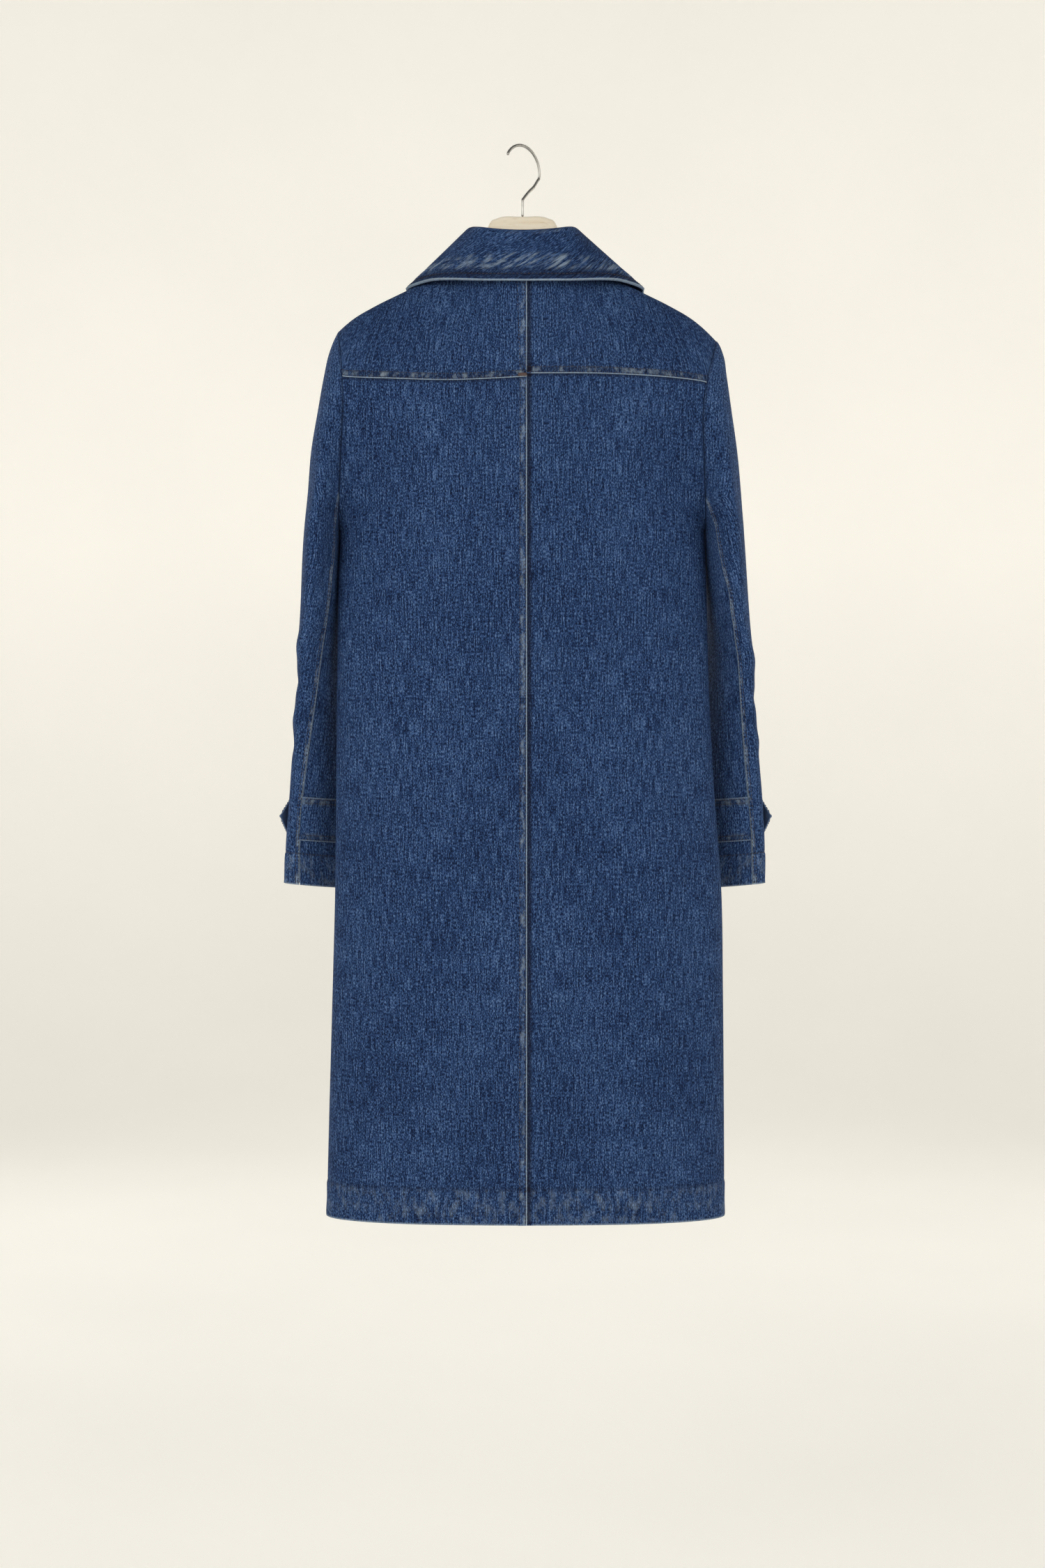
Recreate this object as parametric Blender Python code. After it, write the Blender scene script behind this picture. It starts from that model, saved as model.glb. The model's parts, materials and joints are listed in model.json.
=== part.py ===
"""Denim coat hung on a wooden hanger, each sewn piece a thin wall of its own.

Metres, +Z up. The origin is the inside top of the hook, where a rail would bear.
The coat's back faces -Y, its front +Y, and +X is the wearer's right.
"""

import math

import bmesh
import bpy
import numpy as np

for old in list(bpy.data.objects):
    bpy.data.objects.remove(old, do_unlink=True)

# Cloth
CLOTH = 0.0018
HEM_FOLD = 0.0010
SEAM_GAP = 0.0005
SIDE_GAP = 0.00036
LAP_WIDTH = 0.009
LAP_RISE = 0.0012
LAP_SLOPE = 0.0015

# Body
HEM_Z = -1.224
HEM_DEEP = 0.040
UNDERARM_Z = -0.440
BACK_SEAM_X = 0.005
SECTION_POWER = 2.4
SECTION_FLAT = 0.34
HALF_WIDTH = 0.210
HALF_ARC = 0.245
YOKE_LEVEL = 1.0 / 3.0
EDGE_TURN = math.radians(50)
CALM_Z = -0.500
EDGE_LOCAL = 0.30
ARM_BACK = 0.045
ARM_FRONT = 0.052
ARM_FRONT_INSET = 0.006
ARM_LEAN = 0.6
TIP_X = {"left": 0.2110, "right": 0.2220}
SIGN = {"left": -1.0, "right": 1.0}
BACK, FRONT = -1.0, 1.0

# Neck edge: x of the neck point, then depth and height at the centre of back and front
NECK_X, NECK_Z = 0.076, -0.141
NECK_CURVE = 2.2
NECK_DEPTH = {BACK: 0.046, FRONT: 0.060}
NECK_MID_Z = {BACK: -0.153, FRONT: -0.222}
NECK_SHARE = {BACK: 0.36, FRONT: 0.42}

# Front lap
LAP_X = 0.030
UNDERLAP = 0.005
COLLAR_END_X = 0.004


def table(names, *rows):
    """Columns by name from rows of numbers; the first column is the key."""
    return dict(zip(names.split(), np.array(rows, float).T))


SHOULDER = table(
    "x z",
    (0.076, -0.1410),
    (0.110, -0.1545),
    (0.140, -0.1690),
    (0.169, -0.1835),
    (0.195, -0.1990),
    (0.2145, -0.2155),
    (0.224, -0.2250),
)
SIDE = table(
    "z left right",
    (-0.212, 0.2110, 0.2225),
    (-0.222, 0.2092, 0.2220),
    (-0.245, 0.2060, 0.2160),
    (-0.275, 0.2035, 0.2085),
    (-0.310, 0.2030, 0.2040),
    (-0.360, 0.2055, 0.2050),
    (-0.440, 0.2095, 0.2090),
    (-0.620, 0.2130, 0.2140),
    (-0.740, 0.2140, 0.2200),
    (-0.850, 0.2150, 0.2280),
    (-0.970, 0.2180, 0.2300),
    (-1.100, 0.2215, 0.2310),
    (-1.224, 0.2245, 0.2315),
)
DEPTH = table(
    "z back front",
    (-0.265, 0.060, 0.061),
    (-0.330, 0.067, 0.066),
    (-0.440, 0.072, 0.069),
    (-0.700, 0.074, 0.071),
    (-1.224, 0.077, 0.073),
)
YOKE_WAVE = table(
    "share left right",
    (0.00, -0.0045, 0.0073),
    (0.36, -0.0080, 0.0071),
    (0.70, -0.0045, 0.0045),
    (1.00, 0.0000, 0.0000),
)

# Sleeves: the outer line seen from behind, and the sections below the underarm
SLEEVE_OUT = table(
    "z left right",
    (-0.2125, 0.2110, 0.2120),
    (-0.2225, 0.2160, 0.2222),
    (-0.239, 0.2220, 0.2300),
    (-0.263, 0.2272, 0.2338),
    (-0.303, 0.2340, 0.2392),
    (-0.351, 0.2415, 0.2455),
    (-0.399, 0.2452, 0.2497),
    (-0.447, 0.2496, 0.2530),
    (-0.543, 0.2546, 0.2600),
    (-0.619, 0.2590, 0.2660),
    (-0.683, 0.2642, 0.2706),
    (-0.743, 0.2692, 0.2768),
    (-0.795, 0.2742, 0.2808),
    (-0.846, 0.2774, 0.2822),
)
SLEEVE = table(
    "z long short turn middle slant",
    (-0.440, 0.079, 0.0175, 0.0, 0.011, 0.00),
    (-0.500, 0.080, 0.0185, 6.0, 0.024, 0.02),
    (-0.600, 0.076, 0.0220, 17.0, 0.044, 0.05),
    (-0.720, 0.070, 0.0260, 30.0, 0.063, 0.08),
    (-0.846, 0.061, 0.0290, 40.0, 0.077, 0.10),
)
SLEEVE_SEAM = table(
    "z left right front",
    (-0.4067, 135.0, 135.0, 135.0),
    (-0.440, 144.0, 125.0, 135.0),
    (-0.505, 143.0, 112.5, 135.0),
    (-0.543, 138.0, 113.0, 135.0),
    (-0.619, 125.7, 114.0, 135.0),
    (-0.683, 116.5, 112.3, 135.0),
    (-0.743, 110.5, 112.5, 135.0),
    (-0.846, 115.5, 110.0, 135.0),
)
CUFF_Z = -0.846
CUFF_DEEP = 0.036
HEAD_EASE = {BACK: 0.034, FRONT: 0.044}
HEAD_FULL = 0.16
BLEND_Z = 0.150
ARMPIT_OFF = 0.009
SEAM_TRIM = 0.009

# Cuff straps: centre height on the elbow seam, size, and where the loose end leaves the sleeve
STRAP_Z = -0.769
STRAP_HIGH = 0.050
STRAP_THICK = 0.0022
STRAP_OFF = 0.0008
STRAP_LEAVES = -32.0
STRAP_LOOSE = 0.030
STRAP_STEPS = 26
STRAP_POINT = 0.026
STRAP_ENDS = np.array([0.35, 0.7, 1.0])
STRAP_TIP = 0.06
STRAP_BUTTON_SHARE = 0.86

# Collar sections from centre back round to centre front
COLLAR_THICK = 0.0028
COLLAR_ROLL = 0.0042
COLLAR_LIFT = 0.0014
COLLAR_MID_X = 0.003
COLLAR = table(
    "share lean stand leaf_x leaf_y leaf_z",
    (0.00, 0.0, 0.0400, 0.000, -0.0580, -0.1650),
    (0.13, -3.0, 0.0405, 0.054, -0.0545, -0.1640),
    (0.22, -9.0, 0.0415, 0.085, -0.0440, -0.1610),
    (0.30, -18.0, 0.0425, 0.105, -0.0310, -0.1590),
    (0.38, -24.0, 0.0430, 0.121, -0.0180, -0.1600),
    (0.48, -26.0, 0.0420, 0.135, -0.0020, -0.1625),
    (0.58, -22.0, 0.0380, 0.136, 0.0150, -0.1655),
    (0.70, -12.0, 0.0300, 0.132, 0.0430, -0.2100),
    (0.82, -2.0, 0.0200, 0.110, 0.0630, -0.2450),
    (0.92, 6.0, 0.0120, 0.085, 0.0680, -0.2770),
    (1.00, 12.0, 0.0070, 0.056, 0.0710, -0.2980),
)
COLLAR_STEPS = {"stand": (0.0, 0.5, 1.0), "roll": (0.25, 0.5, 0.75, 1.0), "fall": (0.25, 0.5, 0.75, 1.0)}

# Buttons
BUTTON_R = 0.0115
BUTTON_THICK = 0.0036
BUTTON_OFF = 0.0006
BUTTON_SIDES = 16
BUTTON = table("radius height", (0.86, 0.0), (1.0, 0.35), (0.96, 0.85), (0.82, 1.0), (0.72, 0.68))
FRONT_BUTTON_Z = (-0.262, -0.390, -0.518, -0.646, -0.774)
STRAP_BUTTON_R = 0.0090

# Hanger: half of its outline from the middle outwards, then the wire
HANGER = table(
    "x top bottom half",
    (0.000, -0.0800, -0.150, 0.0100),
    (0.030, -0.0825, -0.152, 0.0100),
    (0.037, -0.0865, -0.154, 0.0100),
    (0.0405, -0.0935, -0.156, 0.0095),
    (0.046, -0.1150, -0.160, 0.0090),
    (0.060, -0.1370, -0.166, 0.0080),
    (0.090, -0.1505, -0.178, 0.0075),
    (0.140, -0.1730, -0.198, 0.0075),
    (0.180, -0.1950, -0.215, 0.0070),
    (0.196, -0.2060, -0.220, 0.0055),
)
HANGER_SIDES = 12
HANGER_POWER = 2 / 3
WIRE_R = 0.0017
HOOK_R = 0.0275
HOOK_TURN = math.radians(45)
HOOK_STEM = (-0.0797, -0.070, -0.062)
HOOK_SWING = table("out z", (0.0025, -0.058), (0.0105, -0.0495), (0.0190, -0.0420), (0.0250, -0.0340))
HOOK_SWEEP = (-12.0, 152.0, 14)


def along(columns, name, at):
    """A column's value at any key, on a cubic through the rows, held flat beyond the ends."""
    key, value = next(iter(columns.values())), columns[name]
    order = np.argsort(key)
    key, value = key[order], value[order]
    slope = np.gradient(value, key)
    at = np.clip(np.asarray(at, float), key[0], key[-1])
    i = np.clip(np.searchsorted(key, at) - 1, 0, len(key) - 2)
    step = key[i + 1] - key[i]
    t = (at - key[i]) / step
    start = value[i] * (1 + 2 * t) * (1 - t) ** 2 + slope[i] * step * t * (1 - t) ** 2
    return start + value[i + 1] * t**2 * (3 - 2 * t) + slope[i + 1] * step * t**2 * (t - 1)


def ease(t):
    """A smooth step from 0 to 1."""
    t = np.clip(t, 0, 1)
    return t * t * (3 - 2 * t)


def even_shares():
    """Share of the width against share of the arc, for a section of about the coat's shape."""
    angle = np.linspace(0, math.pi / 2, 600)
    x = np.sin(angle) ** (2 / SECTION_POWER)
    y = np.cos(angle) ** (2 / SECTION_POWER) * SECTION_FLAT
    arc = np.concatenate([[0], np.cumsum(np.hypot(np.diff(x), np.diff(y)))])
    return arc / arc[-1], x


ARC_SHARE, ARC_X = even_shares()


def arm_oval(side):
    """Middle height and half height of an armhole."""
    tip_z = float(along(SHOULDER, "z", TIP_X[side]))
    return (tip_z + UNDERARM_Z) / 2, (tip_z - UNDERARM_Z) / 2


def edge(side, face, level):
    """The outer edge of a body panel: the armhole down to level 1, then the side seam to level 2."""
    mid, half = arm_oval(side)
    angle = math.pi * np.clip(level, 0, 1)
    below = np.clip(level - 1, 0, 1)
    z = np.where(level <= 1, mid + half * np.cos(angle), UNDERARM_Z + below * (HEM_Z - UNDERARM_Z))
    deep = ARM_BACK if face == BACK else ARM_FRONT
    inset = 0.0 if face == BACK else ARM_FRONT_INSET
    x = along(SIDE, side, z) - inset * np.sin(angle)
    return SIGN[side] * x, face * deep * np.sin(angle), z


def middle(side, face):
    """The x where a panel starts and how far inside the outer one it lies there."""
    if face == BACK:
        return BACK_SEAM_X, 0.0
    return -SIGN[side] * LAP_X, UNDERLAP if side == "left" else 0.0


def torso(side, face, share, level):
    """A point of a body panel.

    share runs from the centre (0) to the armhole or side seam (1); level from the neck and
    shoulder edge (0) past the yoke seam (1/3) and the underarm (1) to the hem (2).
    """
    share, level = np.broadcast_arrays(np.asarray(share, float), np.asarray(level, float))
    x0, inside = middle(side, face)
    row = np.maximum(level, YOKE_LEVEL)
    ex, ey, ez = edge(side, face, row)
    wide = np.interp(share, ARC_SHARE, ARC_X)
    fade = (1 - np.clip((row - YOKE_LEVEL) / (1 - YOKE_LEVEL), 0, 1)) ** 2
    wave = along(YOKE_WAVE, side, share) if face == BACK else 0.0
    yoke_y, yoke_z = edge(side, face, np.float64(YOKE_LEVEL))[1:]
    calm = ease((yoke_z - ez) / (yoke_z - CALM_Z))
    turn = EDGE_TURN + (math.pi / 2 - EDGE_TURN) * calm
    calm_y = yoke_y * (1 - calm)
    at_edge = np.clip((share - 1 + EDGE_LOCAL) / EDGE_LOCAL, 0, 1) ** 3
    power = 2 / SECTION_POWER
    sine = np.clip(wide ** (1 / power) * np.sin(turn), 0, 1)
    cosine = np.sqrt(1 - sine**2)
    flat = np.clip(np.cos(turn), 0, 1) ** power
    cy = face * (along(DEPTH, "back" if face == BACK else "front", ez) - inside)
    bx = x0 + (ex - x0) * wide
    by = cy + (calm_y - cy) * (1 - cosine**power) / (1 - flat) + (ey - calm_y) * at_edge
    bz = ez + wave * fade

    neck = NECK_SHARE[face]
    quarter = np.clip(share / neck, 0, 1) * math.pi / 2
    out = np.clip((share - neck) / (1 - neck), 0, 1)
    sx = NECK_X + (TIP_X[side] - NECK_X) * out
    nx = x0 + (SIGN[side] * NECK_X - x0) * np.sin(quarter)
    tx = np.where(share < neck, nx, SIGN[side] * sx)
    round_neck = np.sqrt(1 - np.clip(np.abs(nx) / NECK_X, 0, 1) ** 2)
    ty = face * (NECK_DEPTH[face] - inside) * round_neck
    nz = NECK_Z + (NECK_MID_Z[face] - NECK_Z) * round_neck**NECK_CURVE
    tz = np.where(share < neck, nz, along(SHOULDER, "z", sx))

    v = np.clip(level / YOKE_LEVEL, 0, 1)
    angle = math.pi * YOKE_LEVEL * v
    rounded = ease(share / neck)
    fy = np.sin(angle) / math.sin(math.pi * YOKE_LEVEL)
    fz = (1 - np.cos(angle)) / (1 - math.cos(math.pi * YOKE_LEVEL))
    fz = (1 - rounded) * v + rounded * fz
    ax = edge(side, face, level)[0]
    fit = ax - (SIGN[side] * TIP_X[side] + (ex - SIGN[side] * TIP_X[side]) * v)
    x = tx + (bx - tx) * v + fit * np.clip(share, 0, 1) ** 6
    return np.stack([x, ty + (by - ty) * fy, tz + (bz - tz) * fz], -1)


def unit(vectors):
    return vectors / np.linalg.norm(vectors, axis=-1, keepdims=True)


def arm_out(side, face, level):
    """The outward direction that a body panel and a sleeve share along the armhole."""
    angle = math.pi * np.asarray(level, float)
    lean = ARM_LEAN * np.clip(np.cos(angle), 0, 1)
    return unit(np.stack([SIGN[side] * lean, face * np.sin(angle), np.cos(angle)], -1))


def torso_out(side, face, share, level, step=1e-3):
    """The outward direction of a body panel, shared with its neighbours at the seams."""
    share, level = np.broadcast_arrays(np.asarray(share, float), np.asarray(level, float))
    up = torso(side, face, share, np.maximum(level - step, 0))
    down = torso(side, face, share, np.minimum(level + step, 2))
    low = torso(side, face, np.maximum(share - step, 0), level)
    high = torso(side, face, np.minimum(share + step, 1), level)
    return SIGN[side] * face * unit(np.cross(high - low, down - up))


def sleeve(side, angle, z):
    """A point of a sleeve at a height; angle is 0 outwards, negative to the back, pi at the body."""
    angle, z = np.broadcast_arrays(np.asarray(angle, float), np.asarray(z, float))
    sign = SIGN[side]
    mid, half = arm_oval(side)
    open_to = np.arccos(np.clip((z - mid) / half, -1, 1))
    front = angle > 0
    held = np.maximum(z, UNDERARM_Z)
    edge_x = along(SIDE, side, held) - np.where(front, ARM_FRONT_INSET * np.sin(open_to), 0)
    drop = np.clip((UNDERARM_Z - z) / BLEND_Z, 0, 1)
    edge_x = edge_x + ARMPIT_OFF * drop
    out_x = along(SLEEVE_OUT, side, z)
    share = (np.cos(angle) - np.cos(open_to)) / np.maximum(1 - np.cos(open_to), 1e-9)
    share = np.clip(share, 0, 1)
    deep = np.where(front, ARM_FRONT, ARM_BACK)
    head_ease = np.where(front, HEAD_EASE[FRONT], HEAD_EASE[BACK]) * ease((mid + half - z) / HEAD_FULL)
    hx = edge_x + (out_x - edge_x) * share
    hy = (deep + head_ease * share) * np.sin(angle)

    turn = np.radians(along(SLEEVE, "turn", z))
    long, short = along(SLEEVE, "long", z), along(SLEEVE, "short", z)
    reach = np.hypot(long * np.sin(turn), short * np.cos(turn))
    lx = out_x - reach + short * np.cos(angle) * np.cos(turn) - long * np.sin(angle) * np.sin(turn)
    ly = along(SLEEVE, "middle", z) + short * np.cos(angle) * np.sin(turn)
    ly = ly + long * np.sin(angle) * np.cos(turn)

    mix = ease((UNDERARM_Z - z) / BLEND_Z)
    x = hx + (lx - hx) * mix
    y = hy + (ly - hy) * mix
    tilted = z - along(SLEEVE, "slant", z) * (out_x - x) * mix
    return np.stack([sign * (x + SEAM_GAP), y, tilted], -1)


def sleeve_out(side, angle, z, step=2e-3):
    """The outward direction of a sleeve."""
    angle, z = np.broadcast_arrays(np.asarray(angle, float), np.asarray(z, float))
    across = sleeve(side, angle + step, z) - sleeve(side, angle - step, z)
    down = sleeve(side, angle, z - step) - sleeve(side, angle, z + step)
    return SIGN[side] * unit(np.cross(down, across))


def look(colour, roughness, name):
    """A plain Principled material."""
    material = bpy.data.materials.new(name)
    material.use_nodes = True
    shader = material.node_tree.nodes["Principled BSDF"]
    shader.inputs["Base Color"].default_value = (*colour, 1.0)
    shader.inputs["Roughness"].default_value = roughness
    return material


DENIM = look((0.022, 0.048, 0.130), 0.9, "denim")
HORN = look((0.020, 0.022, 0.030), 0.4, "button")
BEECH = look((0.610, 0.400, 0.220), 0.5, "beech")
STEEL = look((0.560, 0.560, 0.570), 0.3, "steel")


def solid(name, points, faces, material):
    """A named object from points and faces, triangulated, with its faces outward."""
    mesh = bpy.data.meshes.new(name)
    mesh.from_pydata(points.reshape(-1, 3).tolist(), [], faces)
    tidy = bmesh.new()
    tidy.from_mesh(mesh)
    bmesh.ops.remove_doubles(tidy, verts=tidy.verts, dist=1e-6)
    bmesh.ops.triangulate(tidy, faces=tidy.faces)
    bmesh.ops.recalc_face_normals(tidy, faces=tidy.faces)
    tidy.to_mesh(mesh)
    tidy.free()
    mesh.materials.append(material)
    bpy.context.scene.collection.objects.link(bpy.data.objects.new(name, mesh))


def tube_faces(rows, sides):
    """Faces of a tube of rings, closed by one face at each end."""
    ids = np.arange(rows * sides).reshape(rows, sides)
    across = np.roll(ids, -1, 1)
    faces = np.stack([ids[:-1], across[:-1], across[1:], ids[1:]], -1).reshape(-1, 4).tolist()
    return faces + [ids[0][::-1].tolist(), ids[-1].tolist()]


def wall(name, outer, inner, material):
    """One closed body between an outer and an inner grid of points."""
    rows, cols = outer.shape[:2]
    ids = np.arange(rows * cols).reshape(rows, cols)
    a, b, c, d = ids[:-1, :-1], ids[:-1, 1:], ids[1:, 1:], ids[1:, :-1]
    skin = np.stack([a, b, c, d], -1).reshape(-1, 4)
    far = rows * cols
    ring = np.concatenate([ids[0, :-1], ids[:-1, -1], ids[-1, :0:-1], ids[:0:-1, 0]])
    after = np.roll(ring, -1)
    rim = np.stack([after, ring, ring + far, after + far], -1)
    faces = np.concatenate([skin, skin[:, ::-1] + far, rim])
    solid(name, np.stack([outer, inner]), faces.tolist(), material)


def lap(distance):
    """Rise of a lapped edge at a distance from it."""
    return LAP_RISE * np.clip((LAP_WIDTH + LAP_SLOPE - distance) / LAP_SLOPE, 0, 1)


# Shared columns and rows, so that neighbours meet point to point along a seam
TRIM_SHARE = 0.0007
TRIM_LEVEL = 0.0012
LAP_LEVELS = YOKE_LEVEL - np.array([0.034, 0.028])
LAP_SHARES = np.array([LAP_WIDTH, LAP_WIDTH + LAP_SLOPE]) / HALF_ARC
BACK_NECK = np.linspace(0, 1, 6)[1:] * NECK_SHARE[BACK]
SHOULDER_STEPS = np.linspace(0, 1, 8)[1:]
YOKE_STEPS = np.linspace(0, 1, 6)
ARM_STEPS = np.concatenate([np.linspace(60, 135, 6), np.linspace(135, 180, 5)[1:]]) / 180
BELOW_STEPS = np.array([0.03, 0.10, 0.20, 0.32, 0.44, 0.56, 0.68, 0.80, 0.90])
HEM_STEP = 1 - HEM_DEEP / (UNDERARM_Z - HEM_Z)
HEM_SLOPE = 0.002
BELOW_STEPS = np.append(BELOW_STEPS, [HEM_STEP - HEM_SLOPE, HEM_STEP + HEM_SLOPE, 1.0])


def shoulder_shares(face):
    return NECK_SHARE[face] + (1 - NECK_SHARE[face]) * SHOULDER_STEPS


def trimmed(values, low, high):
    """The values with both ends drawn in."""
    values = values.copy()
    values[0] += low
    values[-1] -= high
    return values


def body_panel(name, side, face, shares, levels, lap_side=False, lap_foot=False):
    """A body panel's wall, thicker in the hem, raised where an edge laps over its neighbour."""
    s, v = np.meshgrid(shares, levels)
    points = torso(side, face, s, v)
    points[levels >= 1, -1, 1] = face * SIDE_GAP / 2
    out = torso_out(side, face, s, v)
    arm = levels <= 1
    out[arm, -1] = arm_out(side, face, levels[arm])
    out[~arm, -1, 1] = 0
    out = unit(out)
    rise = np.zeros(s.shape)
    if lap_side:
        rise = np.maximum(rise, lap(np.abs(points[..., 0] - points[:, :1, 0])))
    if lap_foot:
        rise = np.maximum(rise, lap(np.linalg.norm(points - points[-1:], axis=-1)))
    thick = CLOTH + HEM_FOLD * (v > 1 + HEM_STEP)
    wall(name, points + out * rise[..., None], points - out * thick[..., None], DENIM)


for side in ("left", "right"):
    lapped = side == "left"
    centre = np.concatenate([[0.0], LAP_SHARES, BACK_NECK])
    shares = trimmed(np.concatenate([centre, shoulder_shares(BACK)]), TRIM_SHARE, 0.0)
    drop = YOKE_LEVEL * YOKE_STEPS
    levels = trimmed(np.sort(np.concatenate([drop, LAP_LEVELS])), TRIM_LEVEL, TRIM_LEVEL)
    body_panel(f"yoke_{side}", side, BACK, shares, levels, lap_side=lapped, lap_foot=True)
    levels = trimmed(np.concatenate([ARM_STEPS, 1 + BELOW_STEPS]), TRIM_LEVEL, 0.0)
    body_panel(f"back_{side}", side, BACK, shares, levels, lap_side=lapped)

    reach = LAP_X + NECK_X
    end = 2 / math.pi * math.asin((LAP_X + COLLAR_END_X) / reach)
    front_neck = np.concatenate([np.linspace(0, end, 4)[:3], np.linspace(end, 1, 6)])
    shares = np.concatenate([front_neck * NECK_SHARE[FRONT], shoulder_shares(FRONT)])
    levels = np.concatenate([YOKE_LEVEL * YOKE_STEPS, ARM_STEPS[1:], 1 + BELOW_STEPS])
    body_panel(f"front_{side}", side, FRONT, shares, trimmed(levels, TRIM_LEVEL, 0.0))


def seam_angle(side, z, which):
    """Angle of the elbow seam (back) or the inner seam (front) at a height."""
    column = side if which == BACK else "front"
    return np.radians(along(SLEEVE_SEAM, column, z))


def sleeve_wall(name, side, angle, z, on_edge):
    """A sleeve panel's wall; the points marked on_edge lie along the armhole."""
    points = sleeve(side, angle, z)
    face = np.where(angle > 0, FRONT, BACK)
    at_arm = arm_out(side, face, np.abs(angle) / math.pi)
    out = np.where(on_edge[..., None], at_arm, sleeve_out(side, angle, z))
    thick = CLOTH + HEM_FOLD * (z < CUFF_Z + CUFF_DEEP)
    wall(name, points, points - out * thick[..., None], DENIM)


LOW_Z = np.array([-0.431, -0.455, -0.490, -0.535, -0.585, -0.640, -0.695, -0.745])
CUFF_SLOPE = 0.0015
CUFF_TOP = CUFF_Z + CUFF_DEEP
LOW_Z = np.append(LOW_Z, [CUFF_TOP + CUFF_SLOPE, CUFF_TOP - CUFF_SLOPE, CUFF_Z])
TOP_COLUMNS = 15

for side in ("left", "right"):
    mid, half = arm_oval(side)
    upper = np.concatenate([YOKE_LEVEL * YOKE_STEPS, ARM_STEPS[1:6]])
    head_z = mid + half * np.cos(math.pi * upper)
    low_z = LOW_Z.copy()
    low_z[0] = (head_z[-1] + low_z[1]) / 2
    z = np.concatenate([head_z, low_z])
    back = np.where(z >= head_z[-1], 0.0, seam_angle(side, z, BACK) - SEAM_TRIM)
    fore = np.where(z >= head_z[-1], 0.0, seam_angle(side, z, FRONT) - SEAM_TRIM)
    back[: len(upper)] = math.pi * upper
    fore[: len(upper)] = math.pi * upper
    across = np.linspace(0, 1, TOP_COLUMNS)
    angle = -back[:, None] + (back + fore)[:, None] * across
    z = np.repeat(z[:, None], TOP_COLUMNS, 1)
    on_edge = np.zeros(z.shape, bool)
    on_edge[: len(upper), [0, -1]] = True
    on_edge[:2] = True
    sleeve_wall(f"sleeve_upper_{side}", side, angle, z, on_edge)

    scoop = math.pi * np.concatenate([ARM_STEPS[5:], 2 - ARM_STEPS[-2:4:-1]])
    scoop = trimmed(scoop, 2 * SEAM_TRIM, 2 * SEAM_TRIM)
    scoop_z = mid + half * np.cos(scoop)
    share = np.linspace(0, 1, len(scoop))
    back = seam_angle(side, low_z, BACK) + SEAM_TRIM
    fore = 2 * math.pi - seam_angle(side, low_z, FRONT) - SEAM_TRIM
    angle = back[:, None] + (fore - back)[:, None] * share
    angle = np.concatenate([scoop[None], angle])
    z = np.repeat(low_z[:, None], len(scoop), 1)
    z = np.concatenate([scoop_z[None], z])
    z[1] = (z[0] + z[2]) / 2
    angle = np.where(angle > math.pi, 2 * math.pi - angle, -angle)
    on_edge = np.zeros(z.shape, bool)
    on_edge[0] = True
    sleeve_wall(f"sleeve_under_{side}", side, angle, z, on_edge)


def strap(side):
    """The cuff strap's middle line of points, outward directions and half heights."""
    start = float(seam_angle(side, STRAP_Z, BACK))
    turn = np.linspace(-start, math.radians(STRAP_LEAVES) - 2 * math.pi, STRAP_STEPS)
    rows = STRAP_Z + STRAP_HIGH * np.array([0.5, 0.0, -0.5])
    angle, z = np.meshgrid(turn, rows)
    wrapped = (angle + math.pi) % (2 * math.pi) - math.pi
    points = sleeve(side, wrapped, z)
    return points, sleeve_out(side, wrapped, z)


def strap_wall(side):
    """A band from the elbow seam round the sleeve, then straight on to a point."""
    points, out = strap(side)
    ahead = unit(points[:, -1] - points[:, -2])
    steps = STRAP_ENDS * STRAP_LOOSE
    loose = points[:, -1:, :] + ahead[:, None, :] * steps[None, :, None]
    points = np.concatenate([points, loose], 1)
    out = np.concatenate([out, np.repeat(out[:, -1:], len(steps), 1)], 1)
    narrow = np.ones(points.shape[1])
    left = STRAP_LOOSE - steps
    narrow[-len(steps):] = np.clip(left / STRAP_POINT, STRAP_TIP, 1)
    points = points[1:2] + (points - points[1:2]) * narrow[None, :, None]
    low = points + out * STRAP_OFF
    wall(f"strap_{side}", low + out * STRAP_THICK, low, DENIM)
    return points[1], out[1]


def button(name, surface, out, radius):
    """A round button with a raised rim, turned about out, just clear of the cloth it is sewn to."""
    first = unit(np.cross(out, (0.0, 0.0, 1.0)))
    second = np.cross(out, first)
    angle = np.arange(BUTTON_SIDES) * 2 * math.pi / BUTTON_SIDES
    ring = np.cos(angle)[:, None] * first + np.sin(angle)[:, None] * second
    height = BUTTON_OFF + BUTTON["height"] * BUTTON_THICK
    points = surface + radius * BUTTON["radius"][:, None, None] * ring + height[:, None, None] * out
    solid(name, points, tube_faces(len(height), BUTTON_SIDES), HORN)


for side in ("left", "right"):
    line, out = strap_wall(side)
    at = int(STRAP_BUTTON_SHARE * len(line))
    button(f"strap_button_{side}", line[at] + out[at] * (STRAP_OFF + STRAP_THICK), out[at], STRAP_BUTTON_R)

for number, z in enumerate(FRONT_BUTTON_Z, 1):
    levels = np.linspace(0.2, 2, 2000)
    centre = np.interp(LAP_X / (LAP_X + HALF_WIDTH), ARC_X, ARC_SHARE)
    column = torso("right", FRONT, centre, levels)
    level = np.interp(-z, -column[:, 2], levels)
    at = torso("right", FRONT, centre, level)
    button(f"front_button_{number}", at, torso_out("right", FRONT, centre, level), BUTTON_R)


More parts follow.
